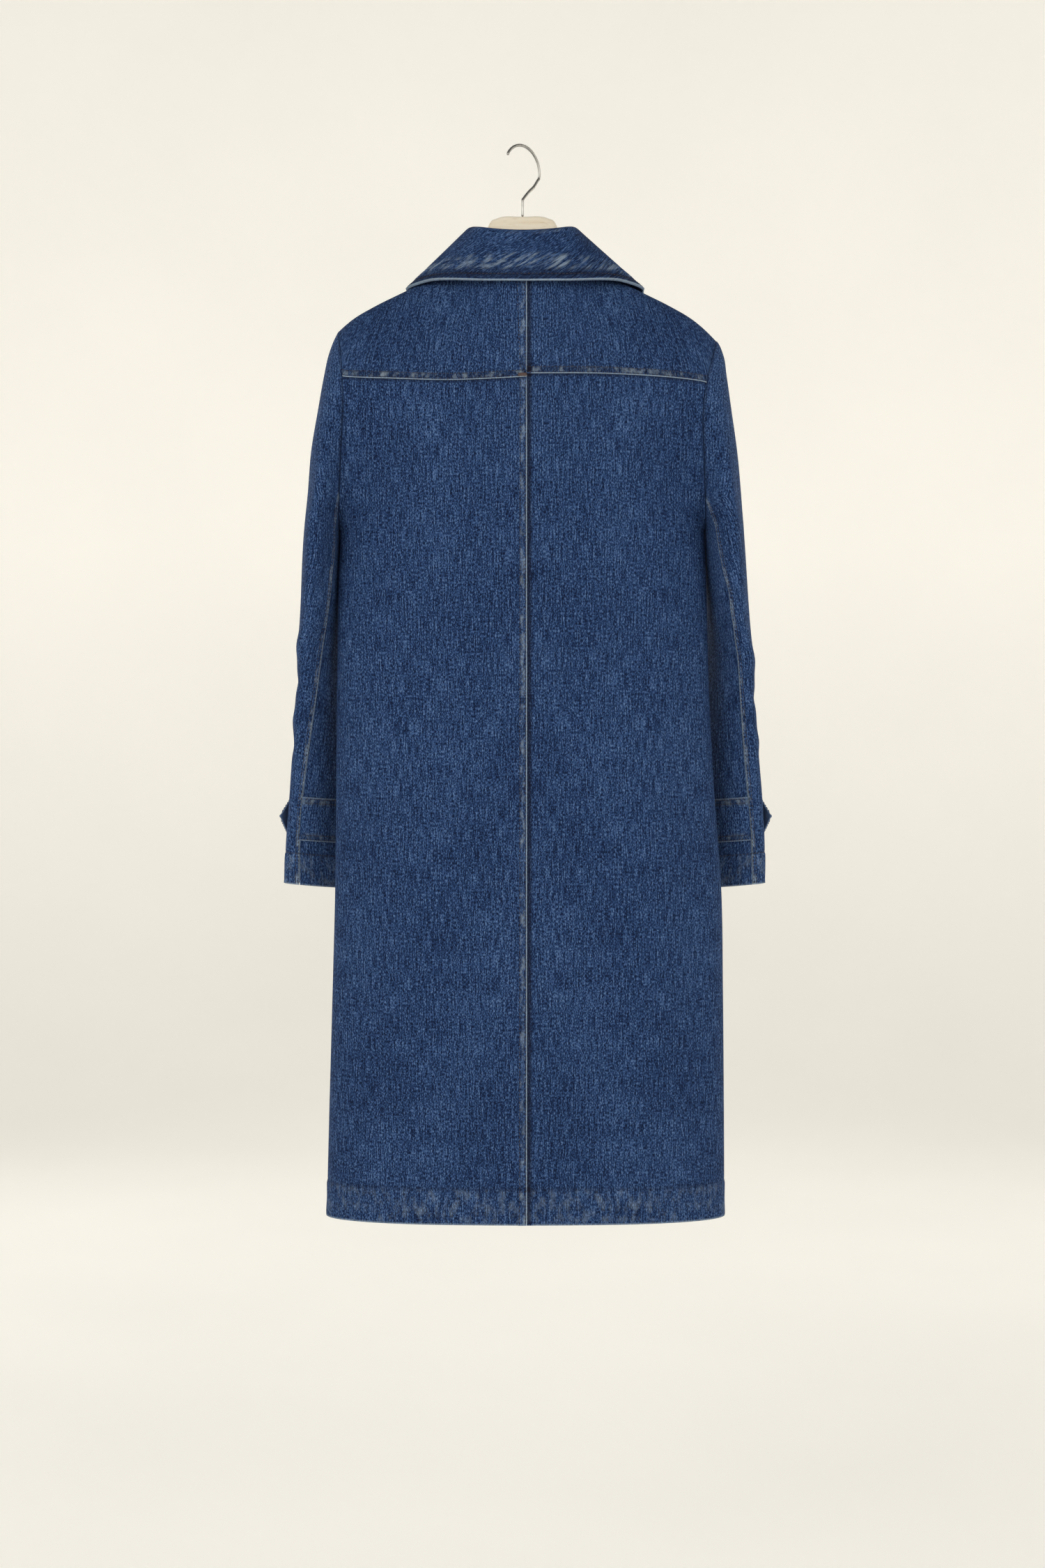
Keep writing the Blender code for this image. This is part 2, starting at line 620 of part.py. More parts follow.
def neck_line(side):
    """Neck edge points and their plan directions from centre back to the collar's front end."""
    back = np.concatenate([[0.0], BACK_NECK]) / NECK_SHARE[BACK]
    end = 2 / math.pi * math.asin((LAP_X + COLLAR_END_X) / (LAP_X + NECK_X))
    fore = np.linspace(1, end, 6)[1:]
    points = [torso(side, BACK, NECK_SHARE[BACK] * back, 0.0)]
    points.append(torso("right", FRONT, NECK_SHARE[FRONT] * fore, 0.0) * (SIGN[side], 1, 1))
    share = np.concatenate([back, 1 + (1 - fore) / (1 - end)]) / 2
    return np.concatenate(points), share


def collar_sections(points, share, side):
    """Middle line of the collar: up the stand, over the roll, straight down the fall to the leaf."""
    plan = share * math.pi
    out = np.stack([SIGN[side] * np.sin(plan), -np.cos(plan), 0 * plan], -1)
    up = np.array([0.0, 0.0, 1.0])
    lean = np.radians(along(COLLAR, "lean", share))[:, None]
    stand = along(COLLAR, "stand", share)[:, None]
    leaf = np.stack([along(COLLAR, n, share) for n in ("leaf_x", "leaf_y", "leaf_z")], -1)
    leaf[:, 0] = COLLAR_MID_X + SIGN[side] * leaf[:, 0]
    rise = np.sin(lean) * out + np.cos(lean) * up
    aside = np.cos(lean) * out - np.sin(lean) * up
    foot = points + up * COLLAR_LIFT
    line = [foot + rise * stand * t for t in COLLAR_STEPS["stand"]]
    normal = [-aside for _ in line]
    centre = line[-1] + aside * COLLAR_ROLL
    away = leaf - centre
    p, q = (away * aside).sum(-1), (away * rise).sum(-1)
    end = math.pi - np.arctan2(q, p) - np.arccos(COLLAR_ROLL / np.hypot(p, q))
    for t in COLLAR_STEPS["roll"]:
        turn = end[:, None] * t
        radial = -np.cos(turn) * aside + np.sin(turn) * rise
        line.append(centre + radial * COLLAR_ROLL)
        normal.append(radial)
    start = line[-1]
    for t in COLLAR_STEPS["fall"]:
        line.append(start + (leaf - start) * t)
        normal.append(radial)
    return np.stack(line, 1), np.stack(normal, 1)


left, left_out = collar_sections(*neck_line("left"), "left")
right, right_out = collar_sections(*neck_line("right"), "right")
line = np.concatenate([left[::-1], right[1:]])
out = np.concatenate([left_out[::-1], right_out[1:]])
wall("collar", line + out * COLLAR_THICK / 2, line - out * COLLAR_THICK / 2, DENIM)


def hanger_wood():
    """The hanger's body: rounded sections from one end to the other."""
    x = np.concatenate([-HANGER["x"][:0:-1], HANGER["x"]])
    both = {n: np.concatenate([HANGER[n][:0:-1], HANGER[n]]) for n in ("top", "bottom", "half")}
    angle = np.arange(HANGER_SIDES) * 2 * math.pi / HANGER_SIDES
    cy = np.sign(np.cos(angle)) * np.abs(np.cos(angle)) ** HANGER_POWER
    cz = np.sign(np.sin(angle)) * np.abs(np.sin(angle)) ** HANGER_POWER
    mid, half = (both["top"] + both["bottom"]) / 2, (both["top"] - both["bottom"]) / 2
    points = np.stack(
        [
            np.repeat(x[:, None], HANGER_SIDES, 1),
            both["half"][:, None] * cy,
            mid[:, None] + half[:, None] * cz,
        ],
        -1,
    )
    solid("hanger_wood", points, tube_faces(len(x), HANGER_SIDES), BEECH)


def hanger_hook():
    """The wire: a stem, a swing to one side and an arc over the rail, in a plane turned about Z."""
    start, end, steps = HOOK_SWEEP
    arc = np.radians(np.linspace(start, end, steps))
    out = np.concatenate([[0.0] * len(HOOK_STEM), HOOK_SWING["out"], HOOK_R * np.cos(arc)])
    z = np.concatenate([HOOK_STEM, HOOK_SWING["z"], WIRE_R - HOOK_R + HOOK_R * np.sin(arc)])
    curve = bpy.data.curves.new("hanger_hook", "CURVE")
    curve.dimensions = "3D"
    curve.bevel_depth = WIRE_R
    curve.bevel_resolution = 2
    curve.use_fill_caps = True
    spline = curve.splines.new("POLY")
    spline.points.add(len(out) - 1)
    places = np.stack([out * math.cos(HOOK_TURN), out * math.sin(HOOK_TURN), z, 0 * z + 1], -1)
    spline.points.foreach_set("co", places.reshape(-1))
    curve.materials.append(STEEL)
    bpy.context.scene.collection.objects.link(bpy.data.objects.new("hanger_hook", curve))


hanger_wood()
hanger_hook()
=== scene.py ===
# %% [markdown]
# # A denim coat on a hanger
# The coat hangs from a wooden hanger and shows its back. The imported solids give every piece
# its place. This script lays the visible cloth over them piece by piece, with its seams,
# stitches, weave and wear, and then sets up a plain studio.

import json
import math

import bpy
import numpy as np
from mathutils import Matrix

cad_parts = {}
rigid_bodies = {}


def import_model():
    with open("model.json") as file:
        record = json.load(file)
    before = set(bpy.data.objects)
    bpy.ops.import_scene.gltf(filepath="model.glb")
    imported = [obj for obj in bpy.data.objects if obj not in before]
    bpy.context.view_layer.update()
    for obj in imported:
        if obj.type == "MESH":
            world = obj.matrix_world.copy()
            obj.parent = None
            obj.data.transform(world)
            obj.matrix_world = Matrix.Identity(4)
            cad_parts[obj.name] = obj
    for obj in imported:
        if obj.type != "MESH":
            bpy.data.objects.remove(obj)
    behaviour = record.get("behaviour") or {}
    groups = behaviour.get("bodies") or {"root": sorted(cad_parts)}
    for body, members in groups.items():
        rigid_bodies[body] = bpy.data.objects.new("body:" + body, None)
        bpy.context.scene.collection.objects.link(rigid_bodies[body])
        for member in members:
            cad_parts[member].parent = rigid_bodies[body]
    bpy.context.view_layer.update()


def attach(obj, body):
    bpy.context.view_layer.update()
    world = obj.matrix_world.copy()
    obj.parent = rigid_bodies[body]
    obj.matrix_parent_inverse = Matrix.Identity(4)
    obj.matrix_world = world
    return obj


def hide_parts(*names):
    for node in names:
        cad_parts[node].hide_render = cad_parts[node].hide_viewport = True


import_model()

# %% [markdown]
# The camera comes first, because every later choice is judged through it. It looks level at
# the coat's back. The lens follows from the height that the picture spans at the coat.

# %% Camera
SEEN_HIGH = 1.80
CAMERA_FAR, CAMERA_Z = 2.80, -0.731
camera = bpy.data.cameras.new("photo_view")
camera.sensor_fit = "VERTICAL"
camera.sensor_height = 36.0
camera.lens = camera.sensor_height * CAMERA_FAR / SEEN_HIGH
eye = bpy.data.objects.new("photo_view", camera)
eye.location = (0.0, -CAMERA_FAR, CAMERA_Z)
eye.rotation_euler = (math.pi / 2, 0.0, 0.0)
bpy.context.scene.collection.objects.link(eye)
bpy.context.scene.camera = eye
print("lens", round(camera.lens, 1), "mm")

# %% [markdown]
# A coat is cut from flat cloth, but on a hanger its body is a soft oval tube. Rings could be
# modelled by hand. Here short tables give the sizes that matter at a few heights, and a smooth
# curve through each column fills in between, so that the whole coat stays easy to adjust.

# %% Tables and smooth steps
def table(names, *rows):
    """Columns by name from rows of numbers; the first column is the key."""
    return dict(zip(names.split(), np.array(rows, float).T))


def along(columns, name, at):
    """A column's value at any key: a cubic through the rows, held flat beyond the ends."""
    key, value = next(iter(columns.values())), columns[name]
    order = np.argsort(key)
    key, value = key[order], value[order]
    slope = np.gradient(value, key)
    at = np.clip(np.asarray(at, float), key[0], key[-1])
    i = np.clip(np.searchsorted(key, at) - 1, 0, len(key) - 2)
    step = key[i + 1] - key[i]
    t = (at - key[i]) / step
    start = value[i] * (1 + 2 * t) * (1 - t) ** 2 + slope[i] * step * t * (1 - t) ** 2
    return start + value[i + 1] * t**2 * (3 - 2 * t) + slope[i + 1] * step * t**2 * (t - 1)


def ease(t):
    """A smooth step: 3t^2 - 2t^3, held at 0 and 1 outside."""
    t = np.clip(t, 0, 1)
    return t * t * (3 - 2 * t)


def band(far, low, high, soft):
    """1 between two distances, easing to 0 over soft on either side."""
    return ease((far - low) / soft + 1) * ease((high - far) / soft + 1)


def bell(far, at, width):
    """A bell curve: e to minus the square of the distance from at, counted in widths."""
    return np.exp(-(((far - at) / width) ** 2))


def unit(vectors):
    """Vectors divided by their lengths."""
    return vectors / np.maximum(np.linalg.norm(vectors, axis=-1, keepdims=True), 1e-12)


# %% Sizes of the body
SIGN = {"left": -1.0, "right": 1.0}
BACK, FRONT = -1.0, 1.0
HEM_Z, UNDERARM_Z = -1.224, -0.440
HEM_DEEP = 0.040
BACK_SEAM_X = 0.005
SECTION_POWER, SECTION_FLAT = 2.4, 0.34
HALF_ARC = 0.245
YOKE_LEVEL = 1.0 / 3.0
EDGE_TURN = math.radians(50)
CALM_Z = -0.500
EDGE_LOCAL = 0.30
ARM_DEEP = {BACK: 0.045, FRONT: 0.052}
ARM_INSET = {BACK: 0.0, FRONT: 0.006}
ARM_LEAN = 0.6
TIP_X = {"left": 0.2110, "right": 0.2220}
NECK_X, NECK_Z, NECK_CURVE = 0.076, -0.141, 2.2
NECK_DEPTH = {BACK: 0.046, FRONT: 0.060}
NECK_MID_Z = {BACK: -0.153, FRONT: -0.222}
NECK_SHARE = {BACK: 0.36, FRONT: 0.42}
LAP_X, UNDERLAP, COLLAR_END_X = 0.030, 0.005, 0.004

SHOULDER = table(
    "x z",
    (0.076, -0.1410),
    (0.110, -0.1545),
    (0.140, -0.1690),
    (0.169, -0.1835),
    (0.195, -0.1990),
    (0.2145, -0.2155),
    (0.224, -0.2250),
)
SIDE = table(
    "z left right",
    (-0.212, 0.2110, 0.2225),
    (-0.222, 0.2092, 0.2220),
    (-0.245, 0.2060, 0.2160),
    (-0.275, 0.2035, 0.2085),
    (-0.310, 0.2030, 0.2040),
    (-0.360, 0.2055, 0.2050),
    (-0.440, 0.2095, 0.2090),
    (-0.620, 0.2130, 0.2140),
    (-0.740, 0.2140, 0.2200),
    (-0.850, 0.2150, 0.2280),
    (-0.970, 0.2180, 0.2300),
    (-1.100, 0.2215, 0.2310),
    (-1.224, 0.2245, 0.2315),
)
DEPTH = table(
    "z back front",
    (-0.265, 0.060, 0.061),
    (-0.330, 0.067, 0.066),
    (-0.440, 0.072, 0.069),
    (-0.700, 0.074, 0.071),
    (-1.224, 0.077, 0.073),
)
YOKE_WAVE = table(
    "share left right",
    (0.00, -0.0045, 0.0073),
    (0.36, -0.0080, 0.0071),
    (0.70, -0.0045, 0.0045),
    (1.00, 0.0000, 0.0000),
)

# %% [markdown]
# Each body panel is a function of two parameters. Share runs from the centre line to the
# armhole or side seam. Level runs from the neck and shoulder edge, past the yoke seam and
# the underarm, to the hem. Neighbouring panels meet because they use the same function.

# %% The body as a function of share and level
def even_shares():
    """Share of the width against share of the arc of a rounded section."""
    angle = np.linspace(0, math.pi / 2, 600)
    x = np.sin(angle) ** (2 / SECTION_POWER)
    y = np.cos(angle) ** (2 / SECTION_POWER) * SECTION_FLAT
    arc = np.concatenate([[0], np.cumsum(np.hypot(np.diff(x), np.diff(y)))])
    return arc / arc[-1], x


ARC_SHARE, ARC_X = even_shares()


def arm_oval(side):
    """Middle height and half height of an armhole."""
    tip_z = float(along(SHOULDER, "z", TIP_X[side]))
    return (tip_z + UNDERARM_Z) / 2, (tip_z - UNDERARM_Z) / 2


def edge(side, face, level):
    """A panel's outer edge: half an oval down the armhole to level 1, then the side seam."""
    mid, half = arm_oval(side)
    angle = math.pi * np.clip(level, 0, 1)
    below = np.clip(level - 1, 0, 1)
    z = np.where(level <= 1, mid + half * np.cos(angle), UNDERARM_Z + below * (HEM_Z - UNDERARM_Z))
    x = along(SIDE, side, z) - ARM_INSET[face] * np.sin(angle)
    return SIGN[side] * x, face * ARM_DEEP[face] * np.sin(angle), z


def middle(side, face):
    """The x where a panel starts and how far inside the outer one it lies there."""
    if face == BACK:
        return BACK_SEAM_X, 0.0
    return -SIGN[side] * LAP_X, UNDERLAP if side == "left" else 0.0


def torso(side, face, share, level):
    """A point of a body panel.

    Below the yoke seam a row is part of a rounded section, y = depth times cos to a power,
    shifted near the armhole to meet its edge. Above it, a row blends from that seam to the
    neck and shoulder edge along a quarter turn.
    """
    share, level = np.broadcast_arrays(np.asarray(share, float), np.asarray(level, float))
    x0, inside = middle(side, face)
    row = np.maximum(level, YOKE_LEVEL)
    ex, ey, ez = edge(side, face, row)
    wide = np.interp(share, ARC_SHARE, ARC_X)
    fade = (1 - np.clip((row - YOKE_LEVEL) / (1 - YOKE_LEVEL), 0, 1)) ** 2
    wave = along(YOKE_WAVE, side, share) if face == BACK else 0.0
    yoke_y, yoke_z = edge(side, face, np.float64(YOKE_LEVEL))[1:]
    calm = ease((yoke_z - ez) / (yoke_z - CALM_Z))
    turn = EDGE_TURN + (math.pi / 2 - EDGE_TURN) * calm
    calm_y = yoke_y * (1 - calm)
    at_edge = np.clip((share - 1 + EDGE_LOCAL) / EDGE_LOCAL, 0, 1) ** 3
    power = 2 / SECTION_POWER
    sine = np.clip(wide ** (1 / power) * np.sin(turn), 0, 1)
    cosine = np.sqrt(1 - sine**2)
    flat = np.clip(np.cos(turn), 0, 1) ** power
    cy = face * (along(DEPTH, "back" if face == BACK else "front", ez) - inside)
    bx = x0 + (ex - x0) * wide
    by = cy + (calm_y - cy) * (1 - cosine**power) / (1 - flat) + (ey - calm_y) * at_edge
    bz = ez + wave * fade

    neck = NECK_SHARE[face]
    quarter = np.clip(share / neck, 0, 1) * math.pi / 2
    out = np.clip((share - neck) / (1 - neck), 0, 1)
    sx = NECK_X + (TIP_X[side] - NECK_X) * out
    nx = x0 + (SIGN[side] * NECK_X - x0) * np.sin(quarter)
    tx = np.where(share < neck, nx, SIGN[side] * sx)
    round_neck = np.sqrt(1 - np.clip(np.abs(nx) / NECK_X, 0, 1) ** 2)
    ty = face * (NECK_DEPTH[face] - inside) * round_neck
    nz = NECK_Z + (NECK_MID_Z[face] - NECK_Z) * round_neck**NECK_CURVE
    tz = np.where(share < neck, nz, along(SHOULDER, "z", sx))

    v = np.clip(level / YOKE_LEVEL, 0, 1)
    angle = math.pi * YOKE_LEVEL * v
    rounded = ease(share / neck)
    fy = np.sin(angle) / math.sin(math.pi * YOKE_LEVEL)
    fz = (1 - np.cos(angle)) / (1 - math.cos(math.pi * YOKE_LEVEL))
    fz = (1 - rounded) * v + rounded * fz
    ax = edge(side, face, level)[0]
    fit = ax - (SIGN[side] * TIP_X[side] + (ex - SIGN[side] * TIP_X[side]) * v)
    x = tx + (bx - tx) * v + fit * np.clip(share, 0, 1) ** 6
    return np.stack([x, ty + (by - ty) * fy, tz + (bz - tz) * fz], -1)


# %% Outward directions of the body
NEAR_EDGE = 0.08


def arm_out(side, face, level):
    """The outward direction that a body panel and a sleeve share along the armhole."""
    angle = math.pi * np.asarray(level, float)
    lean = ARM_LEAN * np.clip(np.cos(angle), 0, 1)
    return unit(np.stack([SIGN[side] * lean, face * np.sin(angle), np.cos(angle)], -1))


def torso_out(side, face, share, level, step=2e-3):
    """Cross product of the panel's two directions, turned to the shared one at its outer edge."""
    share, level = np.broadcast_arrays(np.asarray(share, float), np.asarray(level, float))
    up = torso(side, face, share, np.maximum(level - step, 0))
    down = torso(side, face, share, np.minimum(level + step, 2))
    low = torso(side, face, np.maximum(share - step, 0), level)
    high = torso(side, face, np.minimum(share + step, 1), level)
    out = SIGN[side] * face * unit(np.cross(high - low, down - up))
    near = ease((share - 1 + NEAR_EDGE) / NEAR_EDGE)[..., None]
    sideways = out * np.where(level > 1, 1.0, 0.0)[..., None] * (1, 0, 1)
    edge_out = np.where((level <= 1)[..., None], arm_out(side, face, np.minimum(level, 1)), sideways)
    return unit(out * (1 - near) + edge_out * near)


print("back at the hem, middle:", torso("right", BACK, 0.0, 2.0).round(3).tolist())

# %% [markdown]
# Hung cloth isn't smooth: it keeps soft troughs and ridges from wear and from its own weight.
# Cloth simulation could make them, but not where the coat really has them. So each crease is
# a listed line, with its own width and height, and its height falls off as a bell
# curve across the line and fades out at both ends.

# %% Creases
BODY_CREASES = table(
    "face x0 z0 x1 z1 width height",
    (-1, -0.120, -0.600, -0.138, -1.260, 0.040, 0.0034),
    (-1, -0.060, -0.780, -0.052, -1.260, 0.030, -0.0026),
    (-1, 0.072, -0.690, 0.066, -1.260, 0.034, -0.0030),
    (-1, 0.132, -0.540, 0.152, -1.260, 0.040, 0.0034),
    (-1, 0.187, -0.500, 0.196, -1.180, 0.024, -0.0026),
    (-1, -0.182, -0.470, -0.190, -1.120, 0.024, -0.0024),
    (-1, -0.192, -0.425, -0.105, -0.560, 0.015, 0.0020),
    (-1, -0.196, -0.370, -0.140, -0.470, 0.012, -0.0016),
    (-1, 0.190, -0.415, 0.110, -0.540, 0.016, 0.0021),
    (-1, 0.194, -0.350, 0.146, -0.445, 0.012, -0.0016),
    (-1, -0.108, -0.290, -0.096, -0.480, 0.050, 0.0026),
    (-1, 0.104, -0.285, 0.112, -0.470, 0.050, 0.0026),
    (-1, -0.090, -0.945, -0.018, -1.010, 0.018, -0.0014),
    (-1, 0.018, -0.615, 0.100, -0.672, 0.020, -0.0014),
    (-1, 0.040, -0.905, 0.120, -0.880, 0.018, 0.0013),
    (-1, -0.150, -0.760, -0.070, -0.715, 0.018, 0.0013),
    (1, -0.100, -0.430, -0.124, -1.260, 0.042, 0.0034),
    (1, 0.098, -0.480, 0.128, -1.260, 0.042, 0.0034),
    (1, 0.052, -0.600, 0.046, -1.240, 0.028, -0.0024),
    (1, -0.060, -0.660, -0.054, -1.240, 0.028, -0.0024),
    (1, -0.160, -0.330, -0.080, -0.480, 0.018, -0.0020),
    (1, 0.156, -0.320, 0.084, -0.470, 0.018, -0.0020),
    (1, -0.188, -0.460, -0.194, -1.060, 0.026, -0.0026),
    (1, 0.188, -0.480, 0.200, -1.100, 0.026, -0.0026),
    (1, 0.020, -0.820, 0.110, -0.870, 0.018, 0.0014),
)


CREASE_ENDS = 4


def crease_height(lines, across, down, keep):
    """Sum over the kept lines of height times a bell of the distance, faded at the ends."""
    total = np.zeros(np.broadcast(across, down).shape)
    a, b, c, d = list(lines)[1:5]
    for i in np.nonzero(keep)[0]:
        start = np.array([lines[a][i], lines[b][i]])
        run = np.array([lines[c][i], lines[d][i]]) - start
        long = np.hypot(*run)
        t = ((across - start[0]) * run[0] + (down - start[1]) * run[1]) / long**2
        far = ((across - start[0]) * run[1] - (down - start[1]) * run[0]) / long
        height = lines["height"][i] * bell(far, 0.0, lines["width"][i])
        total = total + height * ease(CREASE_ENDS * t) * ease(CREASE_ENDS * (1 - t))
    return total


print(len(BODY_CREASES["face"]), "creases on the body")

# %% [markdown]
# Two joins show on the back. At the centre the left half is folded and laps over the right
# one, and the yoke laps over the back below it. Each lap stands about a millimetre proud and
# carries two rows of stitches in shallow grooves. The blue has worn off along the folded edges
# and in blotches between the rows. The turned-up hem has faint slanting ropes and wears alike.

# %% Laps, hems, wear and painted shade along the seams
CLOTH, HEM_FOLD = 0.0018, 0.0010
LAP_WIDTH, LAP_RISE, LAP_SLOPE = 0.009, 0.0012, 0.0015
EDGE_ROLL, EDGE_ROLL_WIDE = 0.45, 0.0007
GROOVE, LAP_GROOVE = 0.00045, 0.6
STITCH_ROWS, ROW_WIDE, ROW_DARK, ROW_CLEAR = (0.0018, 0.0078), 0.0009, 0.20, 0.0012
LAP_STRIP = (0.0026, 0.0072, 0.0010)
CENTRE_WEAR, YOKE_WEAR = (0.04, 0.50), (-0.45, 1.0)
HEM_WAVE, HEM_SOFT, HEM_CLEAR, HEM_SLOPE, HEM_ROW_WIDE = 0.00022, 0.004, 0.003, 0.002, 0.0012
BODY_HEM = {"deep": HEM_DEEP, "pitch": 0.021, "lean": 0.55, "step": 0.0006, "dark": 0.70, "blotchy": 0.24}
ROPE_DRIFT = ((1.7, 37.0), (0.9, 83.0))
# Amount of wear, and from where to where it reaches, with its soft border. Below 0 it is painted shade:
# along the armhole and side seam, beside the centre lap and under the yoke's edge.
LAP_EDGE = (0.90, 0.0, 0.0006, 0.0007)
HEM_EDGE = (0.50, 0.0, 0.0008, 0.0014)
ARM_SHADE = (-0.30, 0.0, 0.0010, 0.0020)
CENTRE_SHADE = (-0.85, 0.0, 0.0024, 0.0050)
YOKE_SHADE = (-0.55, 0.0, 0.0014, 0.0030)


def wear_and_shade(plain, blotchy=0.0):
    """Even and blotchy wear side by side, in a last axis of two; below 0 the even part darkens, for dark
    seam rows and for painted shade.
    """
    return np.stack(np.broadcast_arrays(plain, blotchy), -1)


def shade(far, amount, low, high, soft):
    """An amount of even wear between two distances; below 0 it darkens: painted shade at the body and
    sleeve seams, darker bands on the collar.
    """
    return amount * band(far, low, high, soft)


def rope(s, pitch):
    """Uneven waves along a seam: a sine whose phase wanders slowly."""
    phase = 2 * math.pi * s / pitch
    for turn, rate in ROPE_DRIFT:
        phase = phase + turn * np.sin(rate * s)
    return np.sin(phase)


def lap(far):
    """Height of a lap against the distance from its folded edge."""
    rolled = 1 - EDGE_ROLL * bell(far, 0.0, EDGE_ROLL_WIDE)
    return LAP_RISE * rolled * ease((LAP_WIDTH + LAP_SLOPE - far) / LAP_SLOPE)


def lap_detail(far, between, blotchy):
    """Height and wear of a lap: two stitched grooves, a worn edge, and the strip between them."""
    rows = sum(bell(far, row, ROW_WIDE) for row in STITCH_ROWS)
    inside = band(far, *LAP_STRIP)
    plain = shade(far, *LAP_EDGE) + between * inside - ROW_DARK * rows * (far > ROW_CLEAR)
    return -LAP_GROOVE * GROOVE * rows, wear_and_shade(plain, blotchy * inside)


def hem_detail(far, s, deep, pitch, lean, step, dark, blotchy):
    """Height, wear and thickness of a turned-up hem: ropes, a stitch row and a worn edge."""
    inside = band(far, HEM_SOFT, deep - HEM_CLEAR, HEM_SOFT)
    row = bell(far, deep, HEM_ROW_WIDE)
    turned = ease((deep - far) / HEM_SLOPE)
    height = step * turned + HEM_WAVE * rope(s + lean * far, pitch) * inside - GROOVE * row
    worn = wear_and_shade(shade(far, *HEM_EDGE) - dark * row, blotchy * inside)
    return height, worn, CLOTH + HEM_FOLD * turned


# %% The cloth of a body panel
FREE_SHARE, FREE_LEVEL = 0.10, 0.25


def body_cloth(side, face, share, level, piece):
    """Outer point, outward direction, inner point, and wear with painted shade, of a body panel's cloth.
    """
    base = torso(side, face, share, level)
    out = torso_out(side, face, share, level)
    centre = np.abs(base[..., 0] - torso(side, face, 0.0, level)[..., 0])
    foot = np.linalg.norm(base - torso(side, face, share, YOKE_LEVEL), axis=-1)
    free = ease((1 - share) / FREE_SHARE) * ease(level / FREE_LEVEL)
    keep = BODY_CREASES["face"] == face
    bend = crease_height(BODY_CREASES, base[..., 0], base[..., 2], keep) * free
    rise, thick = np.zeros(share.shape), np.full(share.shape, CLOTH)
    # Painted shade along the armhole and the side seam.
    worn = wear_and_shade(shade((1 - share) * HALF_ARC, *ARM_SHADE))
    if piece != "yoke":
        height, more, thick = hem_detail(base[..., 2] - HEM_Z, base[..., 0], **BODY_HEM)
        rise, worn = rise + height, worn + more
    lapped = (face == BACK and side == "left") or (face == FRONT and side == "right")
    if lapped:
        height, more = lap_detail(centre, *CENTRE_WEAR)
        rise = rise + height + (lap(centre) if face == BACK else 0)
        worn = np.maximum(worn, more) if piece == "yoke" else worn + more
    elif face == BACK:
        # Painted shadow on the right back, beside the left half's lapped edge.
        worn = worn + wear_and_shade(shade(centre, *CENTRE_SHADE))
    if piece == "yoke":
        height, more = lap_detail(foot, *YOKE_WEAR)
        rise = np.maximum(rise, lap(foot)) + height
        worn = worn + more
    elif face == BACK:
        # Painted shadow on the back panels just below the yoke's lapped edge.
        worn = worn + wear_and_shade(shade(foot, *YOKE_SHADE))
    bent = base + out * bend[..., None]
    return bent + out * rise[..., None], out, bent - out * thick[..., None], worn


# %% [markdown]
# Cloth has two faces, so each piece is a closed wall: an outer grid, the same grid moved in
# by the cloth's thickness, and a rim that joins their borders. A flat sheet with a Solidify
# modifier would do too, but here both faces come from the same formula and carry the same
# cloth coordinates, in metres, which the weave is drawn on.

# %% From grids to a piece of cloth
SHARP = math.radians(55)
INSIDE_WEAR = 0.4


def lengths(grid, axis):
    """Running length along one direction of a grid of points."""
    steps = np.linalg.norm(np.diff(grid, axis=axis), axis=-1)
    zero = np.zeros_like(np.take(steps, [0], axis=axis))
    return np.cumsum(np.concatenate([zero, steps], axis=axis), axis=axis)


def new_piece(name, points, faces, material):
    """An object at the origin from an array of points and a list of faces."""
    mesh = bpy.data.meshes.new(name)
    mesh.from_pydata(points.reshape(-1, 3), [], faces)
    mesh.materials.append(material)
    piece = bpy.data.objects.new(name, mesh)
    bpy.context.scene.collection.objects.link(piece)
    mesh.shade_smooth()
    return piece


def add_weave(mesh, u, v, **values):
    """Store the cloth's own coordinates as a UV map, and named values as attributes."""
    corner = np.empty(len(mesh.loops), np.int32)
    mesh.loops.foreach_get("vertex_index", corner)
    layer = mesh.uv_layers.new(name="weave")
    layer.data.foreach_set("uv", np.stack([u, v], -1)[corner].astype(np.float32).ravel())
    for label, value in values.items():
        attribute = mesh.attributes.new(label, "FLOAT", "POINT")
        attribute.data.foreach_set("value", np.asarray(value, np.float32))


def rim_ring(rows, cols):
    """The border of a grid in order, as point numbers."""
    ids = np.arange(rows * cols).reshape(rows, cols)
    return np.concatenate([ids[0, :-1], ids[:-1, -1], ids[-1, :0:-1], ids[:0:-1, 0]])


def cloth_piece(name, outer, inner, worn, material, outward):
    """A closed wall between two grids; outward is +1 where rows by columns face out, else -1."""
    rows, cols = outer.shape[:2]
    ids = np.arange(rows * cols).reshape(rows, cols)
    skin = np.stack([ids[:-1, :-1], ids[:-1, 1:], ids[1:, 1:], ids[1:, :-1]], -1).reshape(-1, 4)
    ring = rim_ring(rows, cols)
    after = np.roll(ring, -1)
    far = rows * cols
    rim = np.stack([after, ring, ring + far, after + far], -1)
    faces = np.concatenate([skin, skin[:, ::-1] + far, rim])
    if outward < 0:
        faces = faces[:, ::-1]
    piece = new_piece(name, np.stack([outer, inner]), faces, material)
    u, v = lengths(outer, 1).ravel(), -lengths(outer, 0).ravel()
    flags = np.repeat([0.0, 1.0], far)
    worn = worn.reshape(-1, 2)
    # fade holds wear above 0 and darkening below 0: dark seam rows and painted shade.
    fade, blotch = np.concatenate([worn, INSIDE_WEAR * worn]).T
    add_weave(piece.data, np.tile(u, 2), np.tile(v, 2), fade=fade, blotch=blotch, inside=flags)
    piece.data.set_sharp_from_angle(angle=SHARP)
    return piece


# %% [markdown]
# Washed indigo denim has a blue warp that runs down the coat and a white weft behind it. From
# a step away it shows as fine light flecks, faint upright streaks where the warp thread was
# thick, and soft clouds from the wash. An image could hold all this. Noise on the cloth's own
# coordinates does it with no file, and follows the grain of every piece.

